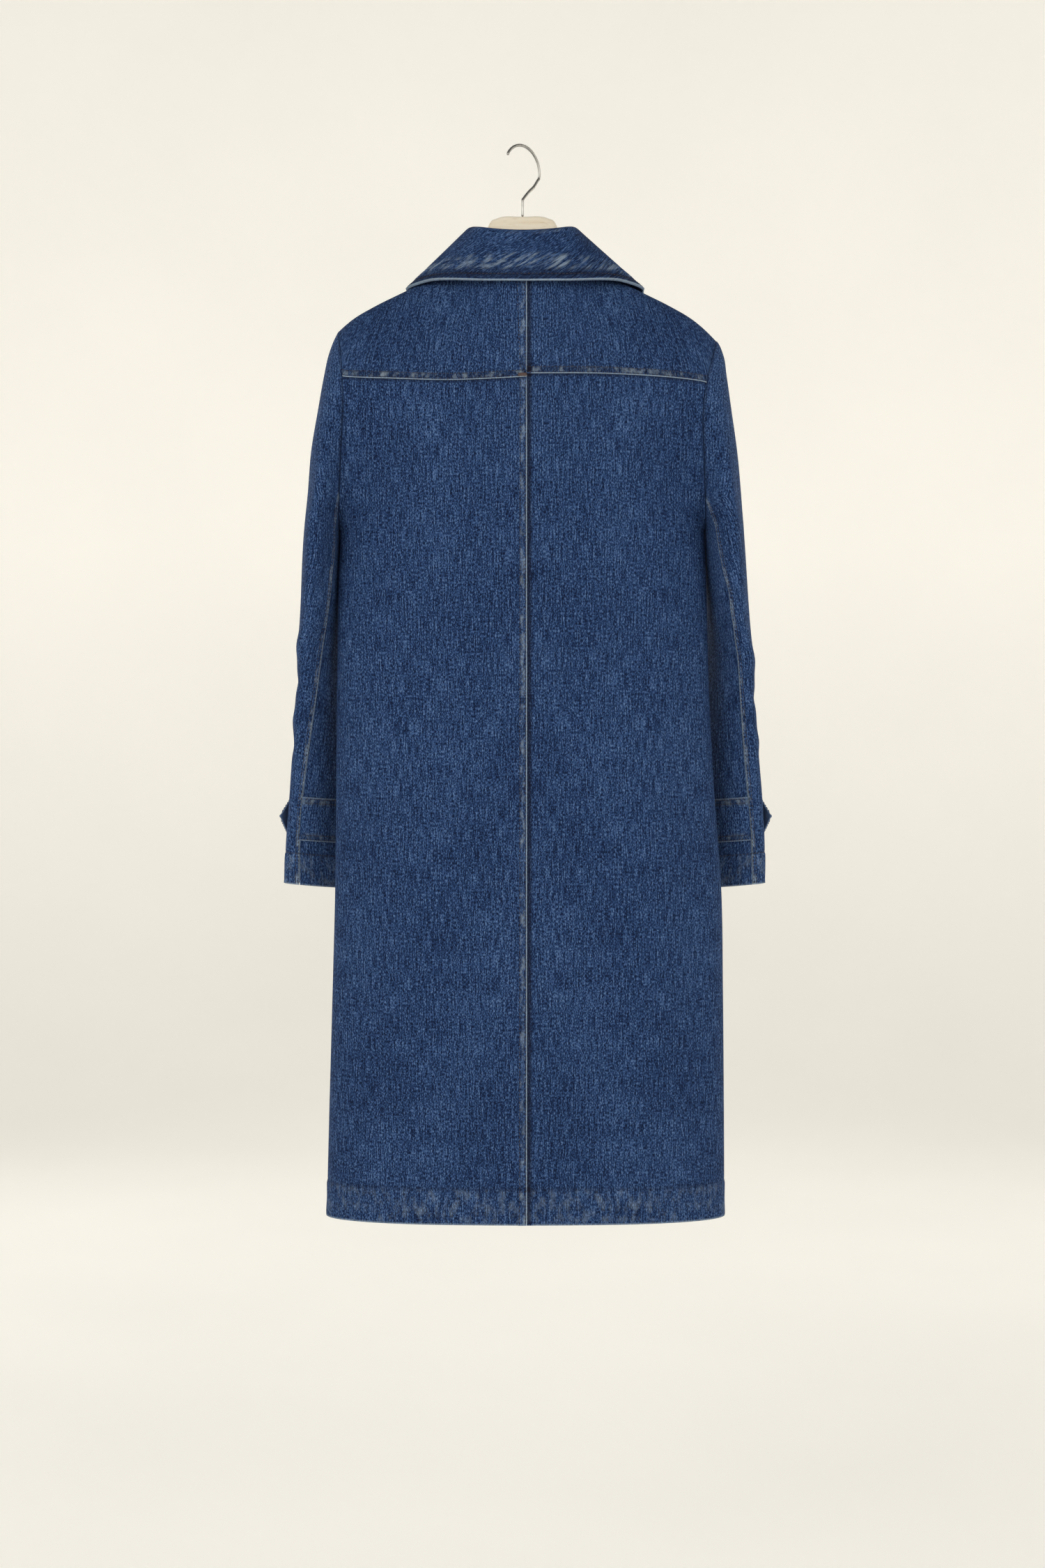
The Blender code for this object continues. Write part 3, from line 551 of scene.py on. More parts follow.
# %% Helpers for node materials
def srgb(red, green, blue):
    """A colour given in 0 to 255 as seen on a screen, as linear values."""
    c = np.array([red, green, blue]) / 255
    return (*np.where(c <= 0.04045, c / 12.92, ((c + 0.055) / 1.055) ** 2.4).tolist(), 1.0)


class Nodes:
    """Short calls to add nodes to one material's tree and join them."""

    def __init__(self, name):
        self.material = bpy.data.materials.new(name)
        self.material.use_nodes = True
        self.tree = self.material.node_tree
        self.shader = self.tree.nodes["Principled BSDF"]

    def add(self, kind, settings=None, **inputs):
        """A node of a kind with settings, and its inputs joined or set by name."""
        new = self.tree.nodes.new("ShaderNode" + kind)
        for key, value in (settings or {}).items():
            setattr(new, key, value)
        for key, value in inputs.items():
            self.put(new.inputs[int(key[1:]) if key[1:].isdigit() else key.replace("_", " ")], value)
        return new

    def put(self, socket, value):
        """Join an output to a socket, or set its constant."""
        if isinstance(value, bpy.types.NodeSocket):
            self.tree.links.new(value, socket)
        else:
            socket.default_value = value

    def math(self, operation, a, b=0.0, clamp=False):
        """One arithmetic step."""
        return self.add("Math", {"operation": operation, "use_clamp": clamp}, i0=a, i1=b).outputs[0]

    def mix(self, share, a, b):
        """Colour a turned to colour b by a share."""
        new = self.add("Mix", {"data_type": "RGBA"})
        for number, value in ((0, share), (6, a), (7, b)):
            self.put(new.inputs[number], value)
        return new.outputs[2]

    def noise(self, vector, scale, detail=2.0, rough=0.55):
        """Noise on coordinates stretched by a scale for each direction."""
        place = self.add("Mapping", Vector=vector, Scale=scale)
        new = self.add("TexNoise", Vector=place.outputs[0], Scale=1.0, Detail=detail, Roughness=rough)
        return new.outputs["Fac"]

    def set(self, **inputs):
        """Join or set inputs of the material's own shader by name."""
        for key, value in inputs.items():
            self.put(self.shader.inputs[key.replace("_", " ")], value)

    def place(self):
        """The object's own coordinates."""
        return self.add("TexCoord").outputs["Object"]

    def line(self, value, factor, shift):
        """A value times a factor, plus a shift."""
        return self.math("ADD", self.math("MULTIPLY", value, factor), shift)

    def bump(self, height, strength, distance):
        """Let a height tilt the shader's normal."""
        new = self.add("Bump", Strength=strength, Distance=distance, Height=height)
        self.set(Normal=new.outputs[0])

    def ramp(self, value, *stops):
        """Colours at places along 0 to 1."""
        new = self.add("ValToRGB", Fac=value)
        scale = new.color_ramp.elements
        while len(scale) < len(stops):
            scale.new(0.5)
        for element, (place, colour) in zip(scale, stops):
            element.position = place
            element.color = colour
        return new.outputs[0]


# %% Denim
DENIM_DARK = srgb(13, 25, 53)
DENIM_MID = srgb(30, 52, 92)
DENIM_LIGHT = srgb(55, 83, 130)
DENIM_FLECK = srgb(96, 123, 164)
DENIM_WORN = srgb(158, 176, 194)
# Dark colour for dark seam rows, collar bands and painted shade along the seams.
DENIM_SEAM_DARK_AND_SHADE = srgb(16, 18, 34)
DENIM_REVERSE = srgb(104, 122, 152)
DENIM_SHEEN = srgb(120, 150, 205)
DENIM_STOPS = ((0.10, DENIM_DARK), (0.38, DENIM_MID), (0.66, DENIM_LIGHT), (0.95, DENIM_FLECK))
TONE_MIDDLE = 0.42
WEAVE = {  # stretch across and down, detail, roughness, weight in the tone
    "fleck": (820, 360, 2.0, 0.60, 2.50),
    "grain": (1500, 800, 1.0, 0.55, 0.90),
    "slub": (640, 42, 2.0, 0.60, 1.50),
    "cloud": (13, 6, 4.0, 0.60, 0.36),
}
PATCH, PATCH_FROM, PATCH_GAIN = (120, 64, 1), 0.48, 4.5
SPECKLE, WEAVE_ROUGH = (1.1, 0.35), (0.16, 0.78)
SEAM_DARK_AND_SHADE_SHARE, REVERSE_SHARE = 0.9, 0.9
TWILL, TWILL_SLANT, RIB_HIGH, FLECK_HIGH = 0.0013, 0.6, 0.25, 1.4


def denim(name, wash):
    """Denim: weighted noises and wash set its tone, and wear, dark seam rows and painted shade are laid
    over it.
    """
    n = Nodes(name)
    uv = n.add("UVMap", {"uv_map": "weave"}).outputs[0]
    labels = ("fade", "blotch", "inside")
    fade, blotch, inside = (n.add("Attribute", {"attribute_name": k}).outputs["Fac"] for k in labels)
    tone, noises = TONE_MIDDLE + wash, {}
    for label, (across, down, detail, rough, weight) in WEAVE.items():
        noises[label] = n.noise(uv, (across, down, 1), detail, rough)
        part = n.math("MULTIPLY", n.math("SUBTRACT", noises[label], 0.5), weight)
        tone = n.math("ADD", part, tone)
    fleck = noises["fleck"]
    patch = n.math("SUBTRACT", n.noise(uv, PATCH, 4.0, 0.6), PATCH_FROM)
    patch = n.math("MULTIPLY", patch, PATCH_GAIN, clamp=True)
    rubbed = n.math("ADD", n.math("MAXIMUM", fade, 0.0), n.math("MULTIPLY", patch, blotch))
    worn = n.math("MULTIPLY", rubbed, n.line(fleck, *SPECKLE), clamp=True)
    # Below 0, fade darkens the face: dark seam rows, collar bands and painted shade along the seams.
    deep = n.math("MULTIPLY", fade, -SEAM_DARK_AND_SHADE_SHARE, clamp=True)
    face = n.mix(worn, n.ramp(tone, *DENIM_STOPS), DENIM_WORN)
    face = n.mix(deep, face, DENIM_SEAM_DARK_AND_SHADE)
    pale = n.math("MULTIPLY", fleck, REVERSE_SHARE, clamp=True)
    reverse = n.mix(pale, DENIM_REVERSE, DENIM_LIGHT)
    parts = n.add("SeparateXYZ", Vector=uv).outputs
    slope = n.math("ADD", parts[0], n.math("MULTIPLY", parts[1], TWILL_SLANT))
    rib = n.math("SINE", n.math("MULTIPLY", slope, 2 * math.pi / TWILL))
    height = n.math("ADD", n.math("MULTIPLY", rib, RIB_HIGH), n.math("MULTIPLY", fleck, FLECK_HIGH))
    n.bump(height, 0.55, 0.0006)
    n.set(Base_Color=n.mix(inside, face, reverse), Roughness=n.line(fleck, *WEAVE_ROUGH))
    n.set(Specular_IOR_Level=0.10, Sheen_Weight=0.03, Sheen_Roughness=0.6, Sheen_Tint=DENIM_SHEEN)
    return n.material


DENIM_BODY = denim("denim_body", 0.0)
DENIM_SLEEVE = denim("denim_sleeve", 0.03)
DENIM_COLLAR = denim("denim_collar", -0.04)
print("materials so far:", len(bpy.data.materials))

# %% [markdown]
# Stitches are what makes a seam read as sewn. Each is a short capsule of thread that lies along
# the seam and sinks a little into the cloth at its ends. One small template is placed many
# times by whole arrays and joined into one mesh for each coat area.

# %% Stitches along a path
STITCH_LONG, STITCH_GAP, THREAD_R = 0.0031, 0.0012, 0.00042
STITCH_PROFILE = table("at wide", (-0.5, 0.30), (-0.36, 0.85), (0.0, 1.0), (0.36, 0.85), (0.5, 0.30))
STITCH_SIDES, STITCH_SINK = 6, 0.75


def thread_material(name, dark, light):
    """Cotton thread between two colours, with a fine twist and uneven dye."""
    n = Nodes(name)
    uneven = n.noise(n.place(), (160, 160, 160), 2.0)
    n.set(Base_Color=n.ramp(uneven, (0.30, dark), (0.72, light)), Roughness=0.75, Sheen_Weight=0.15)
    n.bump(n.noise(n.place(), (2600, 2600, 900), 1.0), 0.6, 0.0002)
    return n.material


THREAD_NAVY = thread_material("thread_navy", srgb(18, 16, 28), srgb(40, 38, 58))
THREAD_TAN = thread_material("thread_tan", srgb(52, 40, 46), srgb(92, 70, 66))


def evenly(points, out, pitch, nudge=1e-3):
    """Centres, directions and outward directions at even steps along a line of points."""
    run = lengths(points[None], 1)[0]
    count = max(2, int(run[-1] / pitch))
    at = (np.arange(count) + 0.5) * run[-1] / count

    def picked(values, where):
        return np.stack([np.interp(where, run, values[:, k]) for k in range(3)], -1)

    ahead = picked(points, at + nudge) - picked(points, at - nudge)
    return picked(points, at), unit(ahead), unit(picked(out, at))


def round_angles(count):
    """Angles of evenly spaced points round a full turn."""
    return np.arange(count) * 2 * math.pi / count


def capsules(centre, ahead, out, long, radius):
    """Points of one capsule at each centre: rings of the profile about its own direction."""
    aside = unit(np.cross(ahead, out))
    up = np.cross(aside, ahead)
    angle = round_angles(STITCH_SIDES)
    ring = np.cos(angle)[:, None] * aside[:, None, None] + np.sin(angle)[:, None] * up[:, None, None]
    at, wide = STITCH_PROFILE["at"], STITCH_PROFILE["wide"]
    spine = centre[:, None] + at[:, None] * long * ahead[:, None]
    spine = spine + (wide[:, None] - STITCH_SINK) * radius * up[:, None]
    return spine[:, :, None] + ring * wide[:, None, None] * radius


def sew(name, rows, material, long=STITCH_LONG, gap=STITCH_GAP, radius=THREAD_R):
    """One mesh of all the stitches along several rows, each a pair (points, outward)."""
    placed = [evenly(points, out, long + gap) for points, out in rows]
    centre, ahead, out = (np.concatenate([p[k] for p in placed]) for k in range(3))
    return stitch_mesh(name, capsules(centre, ahead, out, long, radius), material)


def stitch_mesh(name, points, material):
    """Closed capsules from an array of (stitch, ring, side, xyz)."""
    count, rings, sides = points.shape[:3]
    ids = np.arange(rings * sides).reshape(rings, sides)
    after = np.roll(ids, -1, 1)
    quads = np.stack([ids[:-1], ids[1:], after[1:], after[:-1]], -1).reshape(-1, 4)
    start = (np.arange(count) * rings * sides)[:, None, None]
    faces = (quads[None] + start).reshape(-1, 4).tolist()
    caps = np.stack([ids[0], ids[-1][::-1]])
    faces += (caps[None] + start).reshape(-1, sides).tolist()
    return new_piece(name, points, faces, material)


# %% [markdown]
# The back is cut in two halves below the yoke, and the yoke in two halves above it. All four
# come from the one body function. Columns and rows are close together near the seams, where the
# laps and grooves need them, and wider apart over the plain cloth.

# %% Columns and rows
TRIM_SHARE, TRIM_LEVEL = 0.00008, 0.0005
FINE = np.array([0, 0.5, 1.0, 1.6, 2.2, 3.0, 4.0, 5.0, 6.0, 7.0, 7.8, 8.6, 9.2, 9.8, 10.6, 12.0]) / 1000
PLAIN_STEP = 0.0042
EDGE_FINE = np.array([3.0, 1.6, 0.8, 0.0]) / 1000


def columns(length, trim):
    """Shares of a row: fine from the centre, then plain steps, then fine to the edge."""
    plain = np.arange(FINE[-1] + PLAIN_STEP, length - EDGE_FINE[0] - PLAIN_STEP / 2, PLAIN_STEP)
    shares = np.concatenate([FINE, plain, length - EDGE_FINE]) / length
    shares[0] += trim
    return shares


HEM_LAST, HEM_STEP = 0.0025, 0.0024


def hem_heights(top, *last):
    """Heights of rows over a hem: even steps down from its top, then the ones next to its edge."""
    return np.concatenate([np.arange(top, HEM_LAST, -HEM_STEP), last])


YOKE_LONG, LEVEL_LONG, LOW_STEP = 0.125, 0.36, 0.0052
YOKE_ROWS = YOKE_LEVEL * (1 - columns(YOKE_LONG, 0.0)[::-1])
YOKE_ROWS = np.clip(YOKE_ROWS, TRIM_LEVEL, YOKE_LEVEL - TRIM_LEVEL)
ARM_ROWS = np.linspace(YOKE_LEVEL, 1, 48)
TOP_ROWS = YOKE_LEVEL + np.array([0.0, 0.9, 1.8, 3.0, 4.5]) / 1000 / LEVEL_LONG
BELOW = UNDERARM_Z - HEM_Z
HEM_ROWS = hem_heights(0.046, 0.0022, 0.0014, 0.0007, 0.0)
LOW_ROWS = np.concatenate([np.arange(0.0045, BELOW - 0.049, LOW_STEP), BELOW - HEM_ROWS])
LOW_LEVELS = 1 + LOW_ROWS / BELOW
BACK_ROWS = np.concatenate([TOP_ROWS + TRIM_LEVEL, ARM_ROWS[2:], LOW_LEVELS])
FRONT_ROWS = np.concatenate([np.linspace(TRIM_LEVEL, YOKE_LEVEL, 34), ARM_ROWS[1:], LOW_LEVELS])
print("rows:", len(YOKE_ROWS), "yoke,", len(BACK_ROWS), "back,", len(FRONT_ROWS), "front")

# %% Cut the body panels
SEAM_GAP, SIDE_GAP = 0.0005, 0.00004
SHEETS = {}


def body_panel(name, side, face, shares, levels, piece):
    """A body panel as a piece of cloth, its side edge half a gap off the side seam."""
    share, level = np.meshgrid(shares, levels)
    outer, _, inner, worn = body_cloth(side, face, share, level, piece)
    for grid in (outer, inner):
        grid[levels >= 1, -1, 1] = face * SIDE_GAP / 2
    outward = SIGN[side] * face
    SHEETS[name] = (cloth_piece(name + "_cloth", outer, inner, worn, DENIM_BODY, outward), outer)


for side in SIGN:
    body_panel(f"yoke_{side}", side, BACK, columns(HALF_ARC, TRIM_SHARE), YOKE_ROWS, "yoke")
    body_panel(f"back_{side}", side, BACK, columns(HALF_ARC, TRIM_SHARE), BACK_ROWS, "back")
    body_panel(f"front_{side}", side, FRONT, columns(HALF_ARC + LAP_X, 0.0), FRONT_ROWS, "front")
print("body:", {name: len(sheet[0].data.polygons) for name, sheet in SHEETS.items()})

# %% Sew the body
def yoke_row(side, far, shares, step=0.01):
    """A row at a distance above the yoke's folded edge."""
    low = torso(side, BACK, shares, YOKE_LEVEL)
    high = torso(side, BACK, shares, YOKE_LEVEL - step)
    level = YOKE_LEVEL - far * step / np.linalg.norm(low - high, axis=-1)
    return body_cloth(side, BACK, shares, level, "yoke")[:2]


def upright_row(side, face, far, levels, piece):
    """A row down a panel at a distance from its centre edge."""
    return body_cloth(side, face, np.full(levels.shape, far / HALF_ARC), levels, piece)[:2]


def hem_row(side, face, shares, piece):
    """The stitch row at the top of the hem."""
    return body_cloth(side, face, shares, np.full(shares.shape, 2 - HEM_DEEP / BELOW), piece)[:2]


UPRIGHT = {  # side, face, first level, last level, points
    "yoke": ("left", BACK, 0.004, YOKE_LEVEL - 0.03, 200),
    "back": ("left", BACK, YOKE_LEVEL + 0.012, 1.998, 900),
    "front": ("right", FRONT, 0.01, 1.998, 1100),
}
across = np.linspace(0.004, 0.996, 300)
body_rows = []
for far in STITCH_ROWS:
    for piece, (side, face, top, foot, count) in UPRIGHT.items():
        body_rows.append(upright_row(side, face, far, np.linspace(top, foot, count), piece))
    body_rows += [yoke_row(side, far, across) for side in SIGN]
for side in SIGN:
    body_rows.append(hem_row(side, BACK, across, "back"))
    body_rows.append(hem_row(side, FRONT, across, "front"))
BODY_STITCHES = sew("body_stitches", body_rows, THREAD_NAVY)
print("body stitches:", len(BODY_STITCHES.data.vertices) // (len(STITCH_PROFILE["at"]) * STITCH_SIDES))

# %% [markdown]
# Where the centre seam meets the yoke, a bar of close zigzag stitches in tan thread keeps the
# join from tearing. It is the one warm spot on the back.

# %% Bar tack
TACK_FROM, TACK_LONG, TACK_UP, TACK_COUNT = 0.0006, 0.0095, 0.0028, 15
TACK_HIGH, TACK_LEAN, TACK_OFF, TACK_R = 0.00416, 0.10, 0.0002, 0.0005
tack_x = np.linspace(TACK_FROM, TACK_LONG, TACK_COUNT)
tack_at, tack_out = yoke_row("left", TACK_UP, tack_x / HALF_ARC)
sway = TACK_LEAN * (-1.0) ** np.arange(TACK_COUNT)
lean = unit(np.stack([sway, np.zeros(TACK_COUNT), np.ones(TACK_COUNT)], -1))
tack = capsules(tack_at + tack_out * TACK_OFF, lean, tack_out, TACK_HIGH, TACK_R)
BAR_TACK = stitch_mesh("bar_tack", tack, THREAD_TAN)

# %% [markdown]
# A sleeve is cut in two: an upper sleeve that shows from outside and an under sleeve next to the
# body, joined by the elbow seam and an inner seam. Near the shoulder it follows the armhole's
# oval. Below the underarm its section becomes an ellipse that turns and drifts forwards, as an
# arm hangs.

# %% Sizes of the sleeves
SLEEVE_OUT = table(
    "z left right",
    (-0.2125, 0.2110, 0.2120),
    (-0.2225, 0.2160, 0.2222),
    (-0.239, 0.2220, 0.2300),
    (-0.263, 0.2272, 0.2338),
    (-0.303, 0.2340, 0.2392),
    (-0.351, 0.2415, 0.2455),
    (-0.399, 0.2452, 0.2497),
    (-0.447, 0.2496, 0.2530),
    (-0.543, 0.2546, 0.2600),
    (-0.619, 0.2590, 0.2660),
    (-0.683, 0.2642, 0.2706),
    (-0.743, 0.2692, 0.2768),
    (-0.795, 0.2742, 0.2808),
    (-0.846, 0.2774, 0.2822),
)
SLEEVE = table(
    "z long short turn middle slant",
    (-0.440, 0.079, 0.0175, 0.0, 0.011, 0.00),
    (-0.500, 0.080, 0.0195, 6.0, 0.024, 0.02),
    (-0.600, 0.076, 0.0220, 17.0, 0.044, 0.05),
    (-0.720, 0.070, 0.0260, 30.0, 0.063, 0.08),
    (-0.846, 0.061, 0.0290, 40.0, 0.077, 0.10),
)
SLEEVE_SEAM = table(
    "z left right front",
    (-0.4067, 135.0, 135.0, 135.0),
    (-0.440, 144.0, 125.0, 135.0),
    (-0.505, 143.0, 112.5, 135.0),
    (-0.543, 138.0, 113.0, 135.0),
    (-0.619, 125.7, 114.0, 135.0),
    (-0.683, 116.5, 112.3, 135.0),
    (-0.743, 110.5, 112.5, 135.0),
    (-0.846, 115.5, 110.0, 135.0),
)
CUFF_Z, CUFF_DEEP = -0.846, 0.036
HEAD_EASE = {BACK: 0.034, FRONT: 0.044}
HEAD_FULL, BLEND_Z, ARMPIT_OFF = 0.16, 0.150, 0.001
SEAM_TRIM = 0.009


# %% The sleeve as a function of angle and height
NEAR_ARM, NEAR_UNDERARM, NEAR_TIP = 0.22, 0.02, 0.012


def opening(side, z):
    """Angle of the armhole's oval at a height: the arc cosine of its share of the half height."""
    mid, half = arm_oval(side)
    return np.arccos(np.clip((z - mid) / half, -1, 1))


def sleeve(side, angle, z):
    """A point of a sleeve; angle is 0 outwards, negative to the back, pi at the body.

    Above the underarm: the armhole's edge plus a share of the way to the outer line. Below:
    an ellipse turned about Z. The two blend over a stretch below the underarm.
    """
    angle, z = np.broadcast_arrays(np.asarray(angle, float), np.asarray(z, float))
    tip_z = sum(arm_oval(side))
    open_to = opening(side, z)
    front = angle > 0
    held = np.maximum(z, UNDERARM_Z)
    edge_x = along(SIDE, side, held) - np.where(front, ARM_INSET[FRONT] * np.sin(open_to), 0)
    edge_x = edge_x + ARMPIT_OFF * np.clip((UNDERARM_Z - z) / BLEND_Z, 0, 1)
    out_x = along(SLEEVE_OUT, side, z)
    share = (np.cos(angle) - np.cos(open_to)) / np.maximum(1 - np.cos(open_to), 1e-9)
    share = np.clip(share, 0, 1)
    deep = np.where(front, ARM_DEEP[FRONT], ARM_DEEP[BACK])
    head_ease = np.where(front, HEAD_EASE[FRONT], HEAD_EASE[BACK]) * ease((tip_z - z) / HEAD_FULL)
    hx = edge_x + (out_x - edge_x) * share
    hy = (deep + head_ease * share) * np.sin(angle)

    turn = np.radians(along(SLEEVE, "turn", z))
    long, short = along(SLEEVE, "long", z), along(SLEEVE, "short", z)
    reach = np.hypot(long * np.sin(turn), short * np.cos(turn))
    lx = out_x - reach + short * np.cos(angle) * np.cos(turn) - long * np.sin(angle) * np.sin(turn)
    ly = along(SLEEVE, "middle", z) + short * np.cos(angle) * np.sin(turn)
    ly = ly + long * np.sin(angle) * np.cos(turn)

    mix = ease((UNDERARM_Z - z) / BLEND_Z)
    x = hx + (lx - hx) * mix
    y = hy + (ly - hy) * mix
    tilted = z - along(SLEEVE, "slant", z) * (out_x - x) * mix
    return np.stack([SIGN[side] * (x + SEAM_GAP), y, tilted], -1)


def seam_angle(side, z, which):
    """Angle of the elbow seam (back) or the inner seam (front) at a height."""
    return np.radians(along(SLEEVE_SEAM, side if which == BACK else "front", z))


def sleeve_out(side, angle, z, step=2e-3):
    """Cross product of the sleeve's two directions, turned to the shared one at the armhole."""
    angle, z = np.broadcast_arrays(np.asarray(angle, float), np.asarray(z, float))
    across = sleeve(side, angle + step, z) - sleeve(side, angle - step, z)
    down = sleeve(side, angle, z - step) - sleeve(side, angle, z + step)
    out = SIGN[side] * unit(np.cross(down, across))
    near = ease(1 - (opening(side, z) - np.abs(angle)) / NEAR_ARM)
    near = near * ease((z - UNDERARM_Z) / NEAR_UNDERARM)
    near = np.maximum(near, ease((z - sum(arm_oval(side))) / NEAR_TIP + 1))[..., None]
    shared = arm_out(side, np.where(angle > 0, FRONT, BACK), np.abs(angle) / math.pi)
    return unit(out * (1 - near) + shared * near)


# %% Creases and wear of the sleeves
SLEEVE_CREASES = table(
    "side turn0 z0 turn1 z1 width height",
    (-1, -150, -0.480, -50, -0.545, 0.012, -0.0022),
    (-1, -140, -0.535, -30, -0.585, 0.012, 0.0022),
    (-1, -120, -0.600, -20, -0.622, 0.010, -0.0020),
    (-1, -110, -0.640, -30, -0.668, 0.010, 0.0016),
    (-1, -100, -0.690, 10, -0.680, 0.011, -0.0016),
    (-1, -60, -0.290, -40, -0.430, 0.016, -0.0018),
    (-1, 20, -0.330, 60, -0.470, 0.016, -0.0020),
    (-1, 40, -0.560, 120, -0.600, 0.012, -0.0022),
    (-1, 50, -0.625, 130, -0.645, 0.011, 0.0018),
    (-1, 0, -0.700, 70, -0.735, 0.012, 0.0016),
    (1, -140, -0.500, -40, -0.555, 0.012, -0.0022),
    (1, -130, -0.560, -30, -0.600, 0.012, 0.0020),
    (1, -115, -0.622, -20, -0.640, 0.010, -0.0020),
    (1, -105, -0.672, -25, -0.690, 0.010, 0.0016),
    (1, -50, -0.300, -35, -0.440, 0.016, -0.0018),
    (1, 25, -0.320, 65, -0.460, 0.016, -0.0020),
    (1, 45, -0.575, 120, -0.610, 0.012, -0.0022),
    (1, 50, -0.640, 125, -0.655, 0.011, 0.0018),
    (1, 5, -0.690, 80, -0.720, 0.012, 0.0016),
)
TURN_SCALE = 0.055
SLEEVE_CREASES["turn0"] = np.radians(SLEEVE_CREASES["turn0"]) * TURN_SCALE
SLEEVE_CREASES["turn1"] = np.radians(SLEEVE_CREASES["turn1"]) * TURN_SCALE


ARM_SCALE, FREE_ARM, FREE_CUFF, SEAM_TOP_Z = 0.05, 0.03, 0.03, -0.40
ELBOW_LAP, ELBOW_RISE, ELBOW_WAVE, ELBOW_PITCH = (0.0, 0.0060, 0.0015), 0.0007, 0.35, 0.0095
ELBOW_EDGE, ELBOW_BLOTCH = (0.70, 0.0, 0.0008, 0.0012), 0.60
# Painted shadow beside the elbow lap on the under sleeve, then painted shade along the armhole.
ELBOW_SHADE = (-0.25, 0.0010, 0.0025, 0.0015)
SLEEVE_SHADE = (-0.40, 0.0, 0.0015, 0.0030)
CUFF_HEM = {"deep": CUFF_DEEP, "pitch": 0.019, "lean": 0.50, "step": 0.0005, "dark": 0.34, "blotchy": 0.28}


def sleeve_cloth(side, angle, z):
    """Outer point, outward direction, inner point, and wear with painted shade, of a sleeve's cloth."""
    base = sleeve(side, angle, z)
    out = sleeve_out(side, angle, z)
    edge_far = np.where(z > UNDERARM_Z, (opening(side, z) - np.abs(angle)) * ARM_SCALE, 1.0)
    keep = SLEEVE_CREASES["side"] == SIGN[side]
    free = ease(edge_far / FREE_ARM) * ease((z - CUFF_Z - CUFF_DEEP) / FREE_CUFF)
    bend = crease_height(SLEEVE_CREASES, angle * TURN_SCALE, z, keep) * free
    past_seam = np.abs(angle) - seam_angle(side, z, BACK)
    seam_far = np.where((angle < 0) & (z < SEAM_TOP_Z), np.abs(past_seam) * TURN_SCALE, 1.0)
    lapped = np.where(past_seam < 0, band(seam_far, *ELBOW_LAP), 0)
    height, more, thick = hem_detail(z - CUFF_Z, angle * TURN_SCALE, **CUFF_HEM)
    rise = ELBOW_RISE * lapped * (1 + ELBOW_WAVE * rope(z, ELBOW_PITCH)) + height
    # Painted shade along the armhole, and painted shadow on the under sleeve beside the elbow seam.
    plain = shade(seam_far, *ELBOW_EDGE) + shade(edge_far, *SLEEVE_SHADE)
    plain = plain + np.where(past_seam < 0, 0, shade(seam_far, *ELBOW_SHADE))
    bent = base + out * bend[..., None]
    worn = wear_and_shade(plain, ELBOW_BLOTCH * lapped) + more
    return bent + out * rise[..., None], out, bent - out * thick[..., None], worn


# %% Cut the sleeves
CUFF_ROWS = CUFF_Z + hem_heights(0.041, 0.0020, 0.0012, 0.0006, 0.0)
CUFF_ROOM, HEAD_ROWS, SCOOP_ROWS, HEAD_LEVEL = 0.002, 44, 26, 0.004
UPPER_STEP, UNDER_STEP, UPPER_COLUMNS, UNDER_COLUMNS = 0.0040, 0.0045, 52, 34
SCOOP_Z, SEAM_LEVEL = -0.520, 0.75


def seam_columns(count):
    """Shares across a sleeve panel, close together next to both seams."""
    t = np.linspace(0, 1, count)
    near = np.array([0.004, 0.010, 0.018, 0.030, 0.045])
    return np.unique(np.concatenate([t, near, 1 - near]))


def rows_below(z, step):
    """Heights at even steps below z, then the rows of the cuff."""
    return np.concatenate([np.arange(z - step, CUFF_ROWS[0] + CUFF_ROOM, -step), CUFF_ROWS])


def upper_grid(side):
    """Angles and heights of the upper sleeve, between its two seams."""
    mid, half = arm_oval(side)
    level = np.linspace(HEAD_LEVEL, SEAM_LEVEL, HEAD_ROWS)
    head_z = mid + half * np.cos(math.pi * level)
    low_z = rows_below(head_z[-1], UPPER_STEP)
    back = np.concatenate([math.pi * level, seam_angle(side, low_z, BACK) - SEAM_TRIM])
    fore = np.concatenate([math.pi * level, seam_angle(side, low_z, FRONT) - SEAM_TRIM])
    angle = -back[:, None] + (back + fore)[:, None] * seam_columns(UPPER_COLUMNS)
    return angle, np.concatenate([head_z, low_z])[:, None] + 0 * angle


def under_grid(side):
    """Angles and heights of the under sleeve: from the armhole's scoop to level rows."""
    mid, half = arm_oval(side)
    share = seam_columns(UNDER_COLUMNS)
    edge_z = mid + half * math.cos(SEAM_LEVEL * math.pi)
    scoop = math.pi * (SEAM_LEVEL + 2 * (1 - SEAM_LEVEL) * share)
    scoop_z = mid + half * np.cos(scoop)
    t = np.linspace(0, 1, SCOOP_ROWS)[:, None]
    low_z = rows_below(SCOOP_Z, UNDER_STEP)
    z = np.concatenate([scoop_z + (SCOOP_Z - scoop_z) * t, low_z[:, None] + 0 * share])
    at_seam = np.concatenate([(edge_z + (SCOOP_Z - edge_z) * t)[:, 0], low_z])
    back = seam_angle(side, at_seam, BACK) + SEAM_TRIM
    fore = 2 * math.pi - seam_angle(side, at_seam, FRONT) - SEAM_TRIM
    angle = back[:, None] + (fore - back)[:, None] * share
    z[0] = mid + half * np.cos(angle[0])
    return np.where(angle > math.pi, 2 * math.pi - angle, -angle), z


